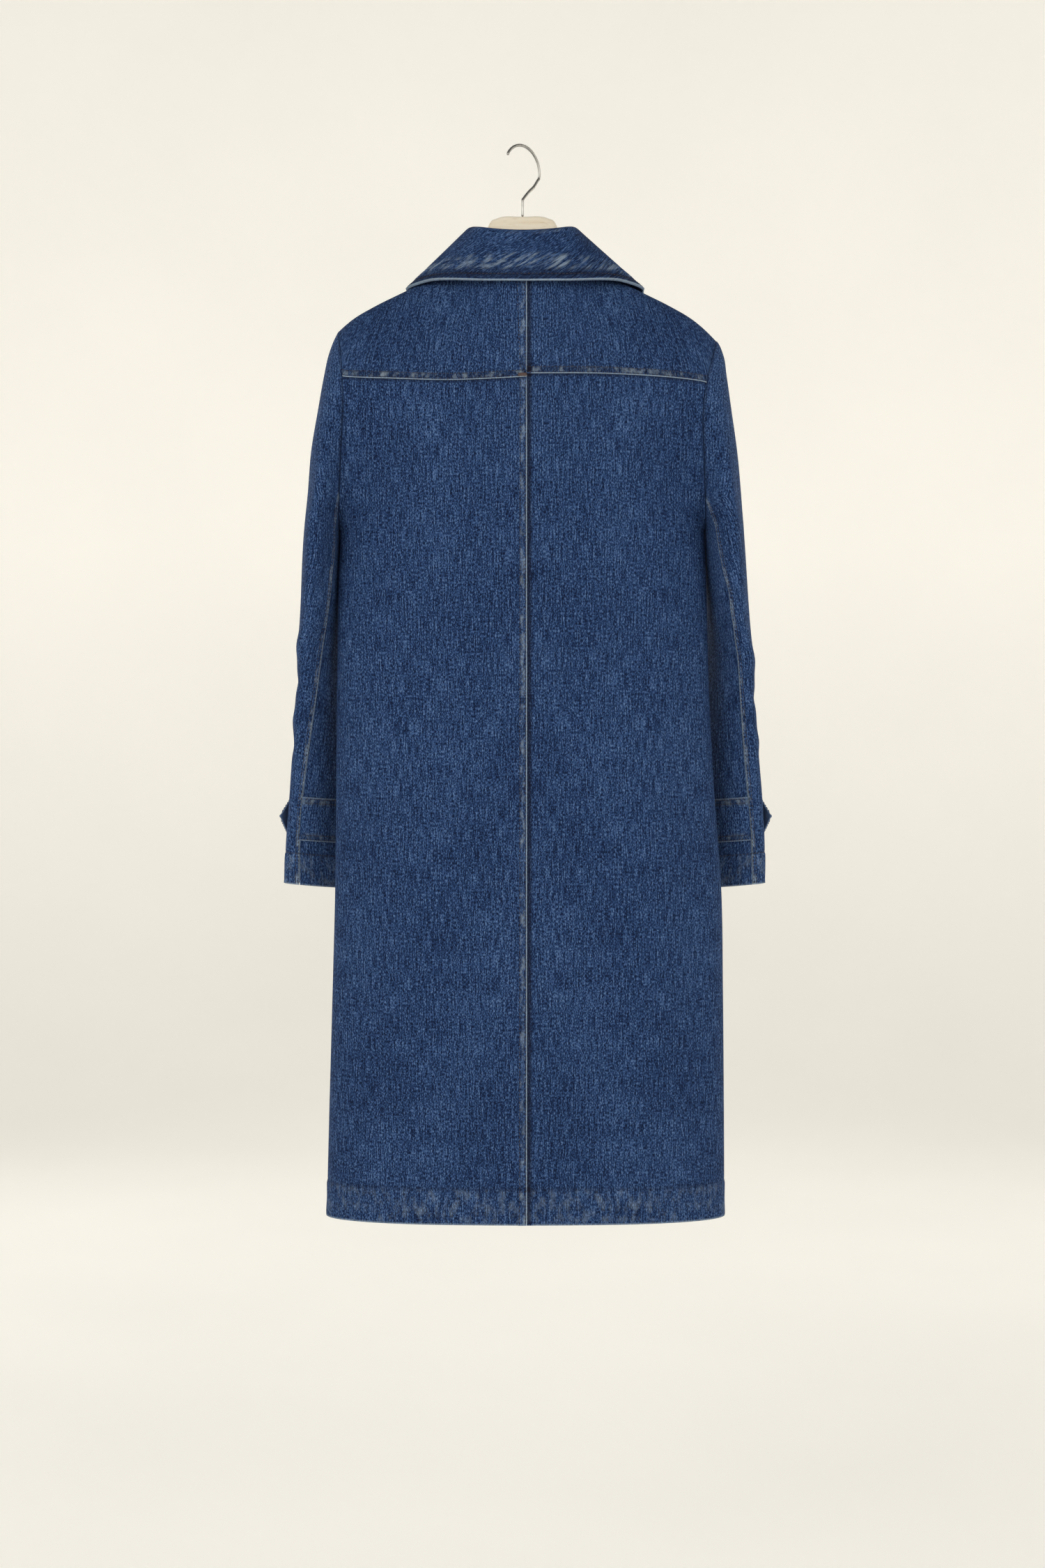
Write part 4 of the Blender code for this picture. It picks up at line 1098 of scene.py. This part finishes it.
for side in SIGN:
    for name, grid in ((f"sleeve_upper_{side}", upper_grid), (f"sleeve_under_{side}", under_grid)):
        angle, z = grid(side)
        outer, _, inner, worn = sleeve_cloth(side, angle, z)
        flip = -SIGN[side] if grid is upper_grid else SIGN[side]
        SHEETS[name] = (cloth_piece(name + "_cloth", outer, inner, worn, DENIM_SLEEVE, flip), outer)
sleeve_faces = {name: len(sheet[0].data.polygons) for name, sheet in SHEETS.items() if "sleeve" in name}
print("sleeves:", sleeve_faces)

# %% Sew the sleeves
ELBOW_ROWS = (0.0016, 0.0062)


def elbow_row(side, far):
    """A row down the upper sleeve at a distance from the elbow seam."""
    z = np.linspace(-0.412, CUFF_Z + 0.001, 500)
    angle = -(seam_angle(side, z, BACK) - SEAM_TRIM - far / TURN_SCALE)
    return sleeve_cloth(side, angle, z)[:2]


def cuff_row(side):
    """The stitch row round the top of the cuff's hem."""
    angle = np.linspace(-math.pi, math.pi, 300)
    return sleeve_cloth(side, angle, np.full(angle.shape, CUFF_Z + CUFF_DEEP))[:2]


SLEEVE_STITCHES = {}
for side in SIGN:
    rows = [elbow_row(side, far) for far in ELBOW_ROWS] + [cuff_row(side)]
    SLEEVE_STITCHES[side] = sew(f"sleeve_stitches_{side}", rows, THREAD_NAVY)

# %% [markdown]
# A strap is sewn into the elbow seam above each cuff, runs round the front of the sleeve and comes
# back to the outside, where its pointed end stands free past the edge. It could be a bent box.
# Taking the sleeve's own points and moving them out keeps it snug wherever the sleeve goes.

# %% Cuff straps
STRAP_Z, STRAP_HIGH = -0.769, 0.050
STRAP_THICK, STRAP_OFF = 0.0022, 0.0008
STRAP_LEAVES, STRAP_LOOSE = math.radians(-32.0), 0.030
STRAP_POINT, STRAP_TIP = 0.026, 0.06
STRAP_STEPS, STRAP_LOOK_BACK, STRAP_END_STEPS = 126, 5, 18
STRAP_ROWS = np.array([0.5, 0.492, 0.480, 0.460, 0.43, 0.38, 0.3, 0.2, 0.1, 0.0])
STRAP_ROWS = np.concatenate([STRAP_ROWS, -STRAP_ROWS[-2::-1]])
STRAP_STITCHES, STRAP_STRIP = (0.0018, 0.0066), (0.0026, 0.0058, 0.0012)
STRAP_EDGE, STRAP_WEAR, STRAP_DARK = (0.45, 0.0, 0.0008, 0.0012), (-0.30, 0.70), 0.20
STRAP_PITCH, STRAP_GROOVE, STRAP_ROLL, STRAP_ROLL_WIDE = 0.0085, 0.5, 0.0006, 0.0008
LAP_WAVE = 0.00030


def loose_end(points, steps):
    """Rows of points with straight steps added past their ends."""
    ahead = unit(points[:, -1] - points[:, -1 - STRAP_LOOK_BACK])
    return np.concatenate([points, points[:, -1:] + ahead[:, None] * steps[:, None]], 1)


def strap_grid(side, rows):
    """Points on the sleeve under the strap, its free end, outward directions and narrowing."""
    start = -float(seam_angle(side, STRAP_Z, BACK))
    turn = np.linspace(start, STRAP_LEAVES - 2 * math.pi, STRAP_STEPS)
    angle, z = np.meshgrid(turn, STRAP_Z + STRAP_HIGH * rows)
    wrapped = (angle + math.pi) % (2 * math.pi) - math.pi
    steps = np.linspace(0, 1, STRAP_END_STEPS)[1:] * STRAP_LOOSE
    points, out = sleeve_cloth(side, wrapped, z)[:2]
    points = loose_end(points, steps)
    centre = sleeve_cloth(side, wrapped[:1], np.full_like(wrapped[:1], STRAP_Z))[0]
    centre = loose_end(centre, steps)
    out = np.concatenate([out, np.repeat(out[:, -1:], len(steps), 1)], 1)
    narrow = np.ones(points.shape[1])
    narrow[-len(steps):] = np.clip((STRAP_LOOSE - steps) / STRAP_POINT, STRAP_TIP, 1)
    return centre + (points - centre) * narrow[:, None], out, narrow


STRAP_THREADS = {}
for side in SIGN:
    points, out, narrow = strap_grid(side, STRAP_ROWS)
    far = (0.5 - np.abs(STRAP_ROWS))[:, None] * STRAP_HIGH * narrow
    run = lengths(points, 1)
    inside = band(far, *STRAP_STRIP)
    rows = sum(bell(far, row, ROW_WIDE) for row in STRAP_STITCHES)
    rise = LAP_WAVE * rope(run, STRAP_PITCH) * inside - GROOVE * STRAP_GROOVE * rows
    rise = rise - STRAP_ROLL * bell(far, 0.0, STRAP_ROLL_WIDE)
    plain = shade(far, *STRAP_EDGE) - STRAP_DARK * rows
    worn = wear_and_shade(plain, 0.0) + wear_and_shade(*STRAP_WEAR) * inside[..., None]
    low = points + out * STRAP_OFF
    outer = low + out * (STRAP_THICK + rise)[..., None]
    name = f"strap_{side}"
    SHEETS[name] = (cloth_piece(name + "_cloth", outer, low, worn, DENIM_SLEEVE, SIGN[side]), outer)
    edge_rows = np.concatenate([[0.5 - d / STRAP_HIGH, d / STRAP_HIGH - 0.5] for d in STRAP_STITCHES])
    points, out, _ = strap_grid(side, edge_rows)
    points = points + out * (STRAP_OFF + STRAP_THICK)
    rows = [(points[i, 2:-3], out[i, 2:-3]) for i in range(len(edge_rows))]
    STRAP_THREADS[side] = sew(f"strap_stitches_{side}", rows, THREAD_NAVY)
print("straps:", [round(float(lengths(SHEETS[f"strap_{s}"][1], 1).max()), 3) for s in SIGN], "m long")

# %% [markdown]
# Collars are cut as a stand and a fall in one piece. The stand rises from the neck edge, the cloth
# rolls over at the top, and the fall drops outside it to a worn edge. A section of three parts is
# carried round the neck: straight stand, circular roll, straight fall to the leaf's edge.

# %% Sizes of the collar
COLLAR_THICK, COLLAR_ROLL, COLLAR_LIFT, COLLAR_MID_X = 0.0028, 0.0042, 0.0014, 0.003
COLLAR = table(
    "share lean stand leaf_x leaf_y leaf_z",
    (0.00, 0.0, 0.0400, 0.000, -0.0580, -0.1650),
    (0.13, -3.0, 0.0405, 0.054, -0.0545, -0.1640),
    (0.22, -9.0, 0.0415, 0.085, -0.0440, -0.1610),
    (0.30, -18.0, 0.0425, 0.105, -0.0310, -0.1590),
    (0.38, -24.0, 0.0430, 0.121, -0.0180, -0.1600),
    (0.48, -26.0, 0.0420, 0.135, -0.0020, -0.1625),
    (0.58, -22.0, 0.0380, 0.136, 0.0150, -0.1655),
    (0.70, -12.0, 0.0300, 0.132, 0.0430, -0.2100),
    (0.82, -2.0, 0.0200, 0.110, 0.0630, -0.2450),
    (0.92, 6.0, 0.0120, 0.085, 0.0680, -0.2770),
    (1.00, 12.0, 0.0070, 0.056, 0.0710, -0.2980),
)
STAND_STEPS = np.linspace(0, 1, 9)
ROLL_STEPS = np.linspace(0, 1, 9)[1:]
FALL_STEPS = np.concatenate([np.linspace(0, 0.94, 26)[1:], [0.955, 0.97, 0.985, 1.0]])
COLLAR_STITCH = 0.0080


# %% The collar as a section carried round the neck
def neck_line(side):
    """Neck edge points and their share of the way from centre back to the collar's end."""
    back = np.linspace(0, 1, 28)
    end = 2 / math.pi * math.asin((LAP_X + COLLAR_END_X) / (LAP_X + NECK_X))
    fore = np.linspace(1, end, 38)[1:]
    points = [torso(side, BACK, NECK_SHARE[BACK] * back, 0.0)]
    points.append(torso("right", FRONT, NECK_SHARE[FRONT] * fore, 0.0) * (SIGN[side], 1, 1))
    return np.concatenate(points), np.concatenate([back, 1 + (1 - fore) / (1 - end)]) / 2


def collar_sections(points, share, side):
    """Middle line, outward directions and distance to the leaf's edge, for each place on the neck."""
    plan = share * math.pi
    out = np.stack([SIGN[side] * np.sin(plan), -np.cos(plan), 0 * plan], -1)
    up = np.array([0.0, 0.0, 1.0])
    lean = np.radians(along(COLLAR, "lean", share))[:, None]
    stand = along(COLLAR, "stand", share)[:, None]
    leaf = np.stack([along(COLLAR, n, share) for n in ("leaf_x", "leaf_y", "leaf_z")], -1)
    leaf[:, 0] = COLLAR_MID_X + SIGN[side] * leaf[:, 0]
    rise = np.sin(lean) * out + np.cos(lean) * up
    aside = np.cos(lean) * out - np.sin(lean) * up
    foot = (points + up * COLLAR_LIFT)[:, None]
    straight = foot + (rise * stand)[:, None] * STAND_STEPS[:, None]
    centre = straight[:, -1] + aside * COLLAR_ROLL
    away = leaf - centre
    p, q = (away * aside).sum(-1), (away * rise).sum(-1)
    end = math.pi - np.arctan2(q, p) - np.arccos(COLLAR_ROLL / np.hypot(p, q))
    turn = (end[:, None] * ROLL_STEPS)[..., None]
    radial = -np.cos(turn) * aside[:, None] + np.sin(turn) * rise[:, None]
    rolled = centre[:, None] + radial * COLLAR_ROLL
    start = rolled[:, -1:]
    fall = start + (leaf[:, None] - start) * FALL_STEPS[:, None]
    line = np.concatenate([straight, rolled, fall], 1)
    normal = [np.repeat(-aside[:, None], len(STAND_STEPS), 1), radial]
    normal.append(np.repeat(radial[:, -1:], len(FALL_STEPS), 1))
    long = np.linalg.norm(leaf[:, None] - start, axis=-1)
    far = np.ones(line.shape[:2])
    far[:, -len(FALL_STEPS):] = long * (1 - FALL_STEPS)
    return line, np.concatenate(normal, 1), far


# %% Cut the collar
COLLAR_ROW_WIDE, COLLAR_ROW_DARK = 0.0010, 0.30
COLLAR_BAND, ASIDE_LESS, ASIDE_FROM, ASIDE_SOFT = (0.017, 0.028, 0.006), 0.75, 0.36, 0.3
WRINKLE, WRINKLE_LEAN, WRINKLE_PITCH = 0.0005, 0.3, 0.016
LEAF_STRIP, LEAF_PITCH = (0.0022, 0.0066, 0.0015), 0.010
COLLAR_SHADES = (
    (0.85, 0.0, 0.0009, 0.0013),
    (-0.55, 0.0026, 0.0085, 0.0010),
    (-0.36, 0.0095, 0.0140, 0.0030),
)
BAND_BLOTCH, TOP_BLOTCH = 0.85, 0.20
halves = [collar_sections(*neck_line(side), side) for side in ("left", "right")]
line, out, far = (np.concatenate([halves[0][k][::-1], halves[1][k][1:]]) for k in range(3))
round_neck = lengths(line, 0)[:, -1:] + 0 * far
aside = np.abs(2 * round_neck / round_neck.max() - 1)
worn_band = band(far, *COLLAR_BAND) * (1 - ASIDE_LESS * ease((aside - ASIDE_FROM) / ASIDE_SOFT))
wrinkle = rope(round_neck + WRINKLE_LEAN * far, WRINKLE_PITCH) * worn_band
row = bell(far, COLLAR_STITCH, COLLAR_ROW_WIDE)
waves = rope(round_neck, LEAF_PITCH) * band(far, *LEAF_STRIP)
rise = WRINKLE * wrinkle + LAP_WAVE * waves - GROOVE * row
over_top = np.zeros(far.shape)
over_top[:, len(STAND_STEPS) - 1:len(STAND_STEPS) + len(ROLL_STEPS)] = 1.0
plain = sum(shade(far, *values) for values in COLLAR_SHADES) - COLLAR_ROW_DARK * row
worn = wear_and_shade(plain, BAND_BLOTCH * worn_band + TOP_BLOTCH * over_top)
outer = line + out * (COLLAR_THICK / 2 + rise)[..., None]
down = [grid.swapaxes(0, 1) for grid in (outer, line - out * COLLAR_THICK / 2, worn)]
collar = cloth_piece("collar_cloth", *down, DENIM_COLLAR, -1)
collar.data.attributes["inside"].data.foreach_set("value", np.zeros(2 * far.size, np.float32))
SHEETS["collar"] = (collar, down[0])


def leaf_row(distance):
    """A row round the fall at a distance from the leaf's edge."""
    pick = np.argmin(np.abs(far - distance), axis=1)
    share = np.arange(len(far))
    toward = unit(outer[share, np.minimum(pick + 1, far.shape[1] - 1)] - outer[share, pick - 1])
    return outer[share, pick] + toward * (far[share, pick] - distance)[:, None], out[share, pick]


COLLAR_THREAD = sew("collar_stitches", [leaf_row(COLLAR_STITCH)], THREAD_NAVY)
print("collar:", len(collar.data.polygons), "faces")

# %% [markdown]
# Buttons are turned discs with a raised rim, a dished face and four holes. A boolean could cut the
# holes. Here the face's height is a function of radius and angle, less four smooth pits, so it stays
# one clean closed surface. Two thread bars cross it.

# %% Buttons
BUTTON_R, STRAP_BUTTON_R = 0.0115, 0.0090
BUTTON_THICK, BUTTON_OFF, BUTTON_SIDES = 0.0036, 0.0006, 64
FRONT_BUTTON_Z = (-0.262, -0.390, -0.518, -0.646, -0.774)
BUTTON_RIM = table(
    "step radius height",
    (0, 0.86, 0.0),
    (1, 0.97, 0.10),
    (2, 1.00, 0.38),
    (3, 0.985, 0.75),
    (4, 0.93, 0.95),
    (5, 0.86, 1.0),
    (6, 0.78, 0.93),
    (7, 0.72, 0.72),
)
HOLE_AT, HOLE_R, HOLE_DEEP, FACE_HIGH = 0.18, 0.115, 0.55, 0.66
FACE_FROM, FACE_TO, BUTTON_RINGS = 0.70, 0.02, 22
BAR_OFF, BAR_LONG, BAR_R = 0.0003, 0.62, 0.0006


def horn():
    """Dark horn with faint cloudy streaks and a soft shine."""
    n = Nodes("button_horn")
    streak = n.noise(n.place(), (90, 90, 260), 4.0, 0.6)
    n.set(Base_Color=n.ramp(streak, (0.32, srgb(12, 13, 20)), (0.70, srgb(46, 48, 62))))
    n.set(Roughness=n.line(streak, 0.2, 0.26))
    n.bump(streak, 0.15, 0.0002)
    return n.material


HORN = horn()


def tube_faces(rows, sides):
    """Faces of a tube of rings, closed by one face at each end."""
    ids = np.arange(rows * sides).reshape(rows, sides)
    after = np.roll(ids, -1, 1)
    faces = np.stack([ids[:-1], after[:-1], after[1:], ids[1:]], -1).reshape(-1, 4).tolist()
    return faces + [ids[0][::-1].tolist(), ids[-1].tolist()]


def frame_of(out):
    """Two directions square to out and to each other."""
    first = unit(np.cross(out, (0.0, 0.0, 1.0)))
    return first, np.cross(out, first)


def button_piece(name, surface, out, radius):
    """A button: rim rings from the table, then face rings with pits at four holes."""
    steps = np.linspace(0, BUTTON_RIM["step"][-1], BUTTON_RINGS)
    face_r = np.linspace(FACE_FROM, FACE_TO, BUTTON_RINGS)
    r = np.concatenate([along(BUTTON_RIM, "radius", steps), face_r])[:, None]
    h = np.concatenate([along(BUTTON_RIM, "height", steps), np.full(len(face_r), FACE_HIGH)])[:, None]
    angle = round_angles(BUTTON_SIDES)
    x, y = r * np.cos(angle), r * np.sin(angle)
    hole = np.hypot(np.abs(x) - HOLE_AT, np.abs(y) - HOLE_AT)
    on_face = (np.arange(len(r)) >= len(steps))[:, None]
    height = h - HOLE_DEEP * np.exp(-((hole / HOLE_R) ** 6)) * on_face
    first, second = frame_of(out)
    lift = BUTTON_OFF + height * BUTTON_THICK
    points = surface + radius * (x[..., None] * first + y[..., None] * second) + lift[..., None] * out
    piece = new_piece(name, points, tube_faces(len(r), BUTTON_SIDES), HORN)
    piece.data.set_sharp_from_angle(angle=SHARP)
    return piece


def button_thread(surface, out, radius):
    """Two capsules that cross between the holes of a button."""
    first, second = frame_of(out)
    top = surface + out * (BUTTON_OFF + FACE_HIGH * BUTTON_THICK + BAR_OFF)
    ahead = unit(np.stack([first + second, first - second]))
    return capsules(np.stack([top, top]), ahead, np.stack([out, out]), BAR_LONG * radius, BAR_R)


# %% Place the buttons
BUTTONS, button_threads = {}, []
STRAP_BUTTON_AT, HALF_WIDTH = 24 / 25, 0.210


def sew_button(node, spot, out, radius):
    """A button and its thread bars for one node."""
    BUTTONS[node] = button_piece(node + "_horn", spot, out, radius)
    button_threads.append(button_thread(spot, out, radius))


for side in SIGN:
    points, out, _ = strap_grid(side, np.array([0.0]))
    at = int(STRAP_BUTTON_AT * (STRAP_STEPS - 1))
    spot = points[0, at] + out[0, at] * (STRAP_OFF + STRAP_THICK)
    sew_button(f"strap_button_{side}", spot, out[0, at], STRAP_BUTTON_R)
front_share = np.interp(LAP_X / (LAP_X + HALF_WIDTH), ARC_X, ARC_SHARE)
levels = np.linspace(0.2, 2, 2000)
column = torso("right", FRONT, front_share, levels)
button_levels = np.interp([-z for z in FRONT_BUTTON_Z], -column[:, 2], levels)
button_shares = np.full(len(button_levels), front_share)
spots, outs = body_cloth("right", FRONT, button_shares, button_levels, "front")[:2]
for number, (spot, out) in enumerate(zip(spots, outs), 1):
    sew_button(f"front_button_{number}", spot, out, BUTTON_R)
BUTTON_THREAD = stitch_mesh("button_threads", np.concatenate(button_threads), THREAD_NAVY)
print(len(BUTTONS), "buttons")

# %% [markdown]
# Each front button has its hole worked in the right front: a slit edged with close stitches that
# stand out from it like rays. The slit runs from the button towards the side of the coat.

# %% Buttonholes
HOLE_LONG, HOLE_WIDE, HOLE_STITCHES, HOLE_ROUND = 0.027, 0.0016, 64, 1.25
HOLE_ASIDE, HOLE_OFF, RAY_SPREAD, RAY_LONG, RAY_R = 0.011, 0.0001, 0.35, 0.0020, 0.0004
turn = round_angles(HOLE_STITCHES)
hole_x = HOLE_LONG / 2 * np.clip(HOLE_ROUND * np.cos(turn), -1, 1)
hole_z = HOLE_WIDE * np.sin(turn)
rays = []
for spot, out in zip(spots, outs):
    first = frame_of(out)[0]
    first = first * np.sign(first[0])
    up = np.cross(first, out)
    centre = spot + first * (HOLE_ASIDE + hole_x)[:, None] + up * hole_z[:, None] + out * HOLE_OFF
    ahead = unit(first * (RAY_SPREAD * np.cos(turn))[:, None] + up * np.sin(turn)[:, None])
    rays.append(capsules(centre, ahead, np.repeat(out[None], HOLE_STITCHES, 0), RAY_LONG, RAY_R))
BUTTONHOLES = stitch_mesh("buttonholes", np.concatenate(rays), THREAD_NAVY)

# %% [markdown]
# The hanger is a shaped wooden body, pale and lightly varnished, with a wire hook. Its outline comes
# from a short table, and its section is a rounded rectangle. The grain runs along it, so noise is
# stretched along X.

# %% Hanger body
HANGER = table(
    "x top bottom half",
    (0.000, -0.0800, -0.150, 0.0100),
    (0.030, -0.0825, -0.152, 0.0100),
    (0.037, -0.0865, -0.154, 0.0100),
    (0.0405, -0.0935, -0.156, 0.0095),
    (0.046, -0.1150, -0.160, 0.0090),
    (0.060, -0.1370, -0.166, 0.0080),
    (0.090, -0.1505, -0.178, 0.0075),
    (0.140, -0.1730, -0.198, 0.0075),
    (0.180, -0.1950, -0.215, 0.0070),
    (0.196, -0.2060, -0.220, 0.0055),
)
HANGER_RINGS, HANGER_SIDES, HANGER_POWER = 90, 40, 2 / 3
HANGER_END_X, HANGER_END_LONG, HANGER_END_LEAST = 0.190, 0.0062, 0.3


def beech():
    """Pale wood: long grain lines, short dark pores and a clear varnish."""
    n = Nodes("beech")
    grain = n.noise(n.place(), (9, 160, 160), 4.0, 0.6)
    pore = n.noise(n.place(), (70, 900, 900), 2.0)
    tones = ((0.30, srgb(242, 228, 204)), (0.52, srgb(250, 239, 219)), (0.74, srgb(254, 247, 233)))
    dark = n.math("MULTIPLY", n.math("GREATER_THAN", pore, 0.64), 0.35)
    n.set(Base_Color=n.mix(dark, n.ramp(grain, *tones), srgb(206, 178, 140)))
    n.set(Roughness=n.line(grain, 0.15, 0.38), Coat_Weight=0.12)
    n.bump(grain, 0.12, 0.0003)
    return n.material


def squared(values):
    """Sines or cosines to a power below 1, with their signs: a circle turns into a rounded square."""
    return np.sign(values) * np.abs(values) ** HANGER_POWER


last = len(HANGER["x"]) - 1
half_x = np.interp(np.linspace(0, last, HANGER_RINGS), np.arange(last + 1), HANGER["x"])
hanger_x = np.concatenate([-half_x[:0:-1], half_x])
parts = {n: along(HANGER, n, np.abs(hanger_x))[:, None] for n in ("top", "bottom", "half")}
angle = round_angles(HANGER_SIDES)
ring_y, ring_z = squared(np.cos(angle)), squared(np.sin(angle))
past_end = np.clip((np.abs(hanger_x) - HANGER_END_X) / HANGER_END_LONG, 0, 1)
ends = np.maximum(np.sqrt(1 - past_end**2), HANGER_END_LEAST)[:, None]
mid = (parts["top"] + parts["bottom"]) / 2
tall = (parts["top"] - parts["bottom"]) / 2 * ends
wood = np.stack([hanger_x[:, None] + 0 * ring_y, parts["half"] * ends * ring_y, mid + tall * ring_z], -1)
HANGER_WOOD = new_piece("hanger_beech", wood, tube_faces(len(hanger_x), HANGER_SIDES), beech())
HANGER_WOOD.data.set_sharp_from_angle(angle=SHARP)

# %% [markdown]
# The hook is one bent wire: a short stem, a swing to one side, and an arc over the top. A curve with
# a bevel would give the tube. The same circle carried along the path by arrays gives it with evenly
# spaced rings, and all in the one way this script uses.

# %% Hook
WIRE_R, HOOK_R = 0.0017, 0.0275
HOOK_TURN = math.radians(45)
HOOK_STEM = (-0.0797, -0.070, -0.062)
HOOK_SWING = table("out z", (0.0025, -0.058), (0.0105, -0.0495), (0.0190, -0.0420), (0.0250, -0.0340))
HOOK_FROM, HOOK_TO, HOOK_STEPS = -12.0, 152.0, 14
HOOK_RINGS, HOOK_SIDES = 220, 20


def steel():
    """Drawn wire: bright, a little rough, with faint marks."""
    n = Nodes("steel_wire")
    marks = n.noise(n.place(), (700, 700, 120), 3.0, 0.6)
    n.set(Base_Color=n.ramp(marks, (0.3, srgb(150, 148, 145)), (0.7, srgb(196, 195, 192))))
    n.set(Roughness=n.line(marks, 0.2, 0.2), Metallic=1.0)
    n.bump(marks, 0.08, 0.0001)
    return n.material


arc = np.radians(np.linspace(HOOK_FROM, HOOK_TO, HOOK_STEPS))
path_out = np.concatenate([np.zeros(len(HOOK_STEM)), HOOK_SWING["out"], HOOK_R * np.cos(arc)])
path_z = np.concatenate([HOOK_STEM, HOOK_SWING["z"], WIRE_R - HOOK_R + HOOK_R * np.sin(arc)])
path = {"step": np.arange(len(path_out), dtype=float), "out": path_out, "z": path_z}
step = np.linspace(0, len(path_out) - 1, HOOK_RINGS)
flat_path = np.stack([along(path, "out", step), along(path, "z", step)], -1)
heading = unit(np.gradient(flat_path, axis=0))
in_plane = np.array([math.cos(HOOK_TURN), math.sin(HOOK_TURN), 0.0])
square = np.array([-math.sin(HOOK_TURN), math.cos(HOOK_TURN), 0.0])
lift = np.array([0.0, 0.0, 1.0])
spine = flat_path[:, :1] * in_plane + flat_path[:, 1:] * lift
normal = heading[:, 1:] * in_plane - heading[:, :1] * lift
angle = round_angles(HOOK_SIDES)
blunt = np.ones(HOOK_RINGS)
blunt[[0, -1]], blunt[[1, -2]] = 0.55, 0.88
ring = np.cos(angle)[:, None] * normal[:, None] + np.sin(angle)[:, None] * square
wire = spine[:, None] + WIRE_R * blunt[:, None, None] * ring
HOOK = new_piece("hook_wire", wire, tube_faces(HOOK_RINGS, HOOK_SIDES), steel())
print("hanger and hook:", len(HANGER_WOOD.data.polygons), len(HOOK.data.polygons), "faces")

# %% [markdown]
# Every visible piece now takes the place of its solid and rides on the one body.


def dress(piece, node):
    """A piece that stands for a node, on the root body."""
    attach(piece, "root")
    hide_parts(node)


def trim(piece, slot):
    """A piece that is added to the coat and stands for no node."""
    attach(piece, "root")


for piece in (BODY_STITCHES, BAR_TACK, COLLAR_THREAD, BUTTON_THREAD, BUTTONHOLES):
    trim(piece, "denim")
for threads in (SLEEVE_STITCHES, STRAP_THREADS):
    for piece in threads.values():
        trim(piece, "denim")
for node, piece in BUTTONS.items():
    dress(piece, node)
dress(HANGER_WOOD, "hanger_wood")
dress(HOOK, "hanger_hook")

for node, (piece, grid) in SHEETS.items():
    dress(piece, node)

# %% [markdown]
# The studio is a cream sweep that runs from floor to wall with no corner, all the way round, so that
# every view has the same quiet ground. Its paint glows a little, more on the wall than on the floor,
# as evenly lit paper would look. Large soft lights stand in front, behind and above.

# %% Studio
FLOOR_Z, FLOOR_R, BEND_R, WALL_TOP = -1.72, 4.0, 1.8, 3.4
SWEEP_SIDES, BEND_STEPS, FLOOR_RINGS = 128, 24, [0.02, 1.0, 2.0, 3.0]
WALL_GLOW, FLOOR_GLOW = 0.44, 0.34


def plaster():
    """Cream matt paint, faintly uneven, with a glow that grows with height over the bend."""
    n = Nodes("cream_plaster")
    cloud = n.noise(n.place(), (1.2, 1.2, 1.2), 3.0)
    n.set(Base_Color=n.ramp(cloud, (0.3, srgb(226, 224, 219)), (0.7, srgb(231, 229, 224))))
    height = n.math("ADD", n.add("SeparateXYZ", Vector=n.place()).outputs[2], -FLOOR_Z)
    glow = n.line(n.math("DIVIDE", height, BEND_R, clamp=True), WALL_GLOW - FLOOR_GLOW, FLOOR_GLOW)
    n.set(Emission_Color=srgb(246, 243, 234), Emission_Strength=glow)
    n.set(Roughness=0.95, Specular_IOR_Level=0.1)
    return n.material


bend = np.linspace(0, math.pi / 2, BEND_STEPS)
sweep_r = np.concatenate([FLOOR_RINGS, FLOOR_R + BEND_R * np.sin(bend), [FLOOR_R + BEND_R]])[:, None]
sweep_z = np.concatenate([[FLOOR_Z] * len(FLOOR_RINGS), FLOOR_Z + BEND_R * (1 - np.cos(bend)), [WALL_TOP]])
angle = round_angles(SWEEP_SIDES)
sweep = np.stack([sweep_r * np.cos(angle), sweep_r * np.sin(angle), sweep_z[:, None] + 0 * angle], -1)
SWEEP = new_piece("studio_sweep", sweep, tube_faces(len(sweep_r), SWEEP_SIDES)[:-1], plaster())

# %% Lights
LIGHTS = table(
    "number x y z size watts",
    (0, -1.9, -2.9, 0.9, 2.2, 30.0),
    (1, 1.9, -2.9, 0.3, 2.2, 18.0),
    (2, -1.9, 2.8, 0.6, 2.2, 22.0),
    (3, 1.9, 2.8, 0.6, 2.2, 18.0),
    (4, 0.0, 0.0, 2.4, 3.2, 2.0),
)
AIM = np.array([0.0, 0.0, -0.65])


def turned_to(spot):
    """Rotation that points a light's -Z from a spot at the coat."""
    x, y, z = AIM - spot
    return (math.atan2(math.hypot(x, y), -z), 0.0, math.atan2(y, x) - math.pi / 2)


for i in range(len(LIGHTS["number"])):
    lamp = bpy.data.lights.new(f"soft_{i}", "AREA")
    lamp.shape = "DISK"
    lamp.size = LIGHTS["size"][i]
    lamp.energy = LIGHTS["watts"][i]
    lamp.color = (1.0, 0.995, 0.985)
    stand = bpy.data.objects.new(f"soft_{i}", lamp)
    spot = np.array([LIGHTS[k][i] for k in "xyz"])
    stand.location = spot
    stand.rotation_euler = turned_to(spot)
    stand.visible_camera = False
    bpy.context.scene.collection.objects.link(stand)
world = bpy.data.worlds.new("studio")
world.use_nodes = True
world.node_tree.nodes["Background"].inputs["Color"].default_value = srgb(250, 248, 243)
world.node_tree.nodes["Background"].inputs["Strength"].default_value = 0.12
bpy.context.scene.world = world
bpy.context.scene.view_settings.view_transform = "Standard"
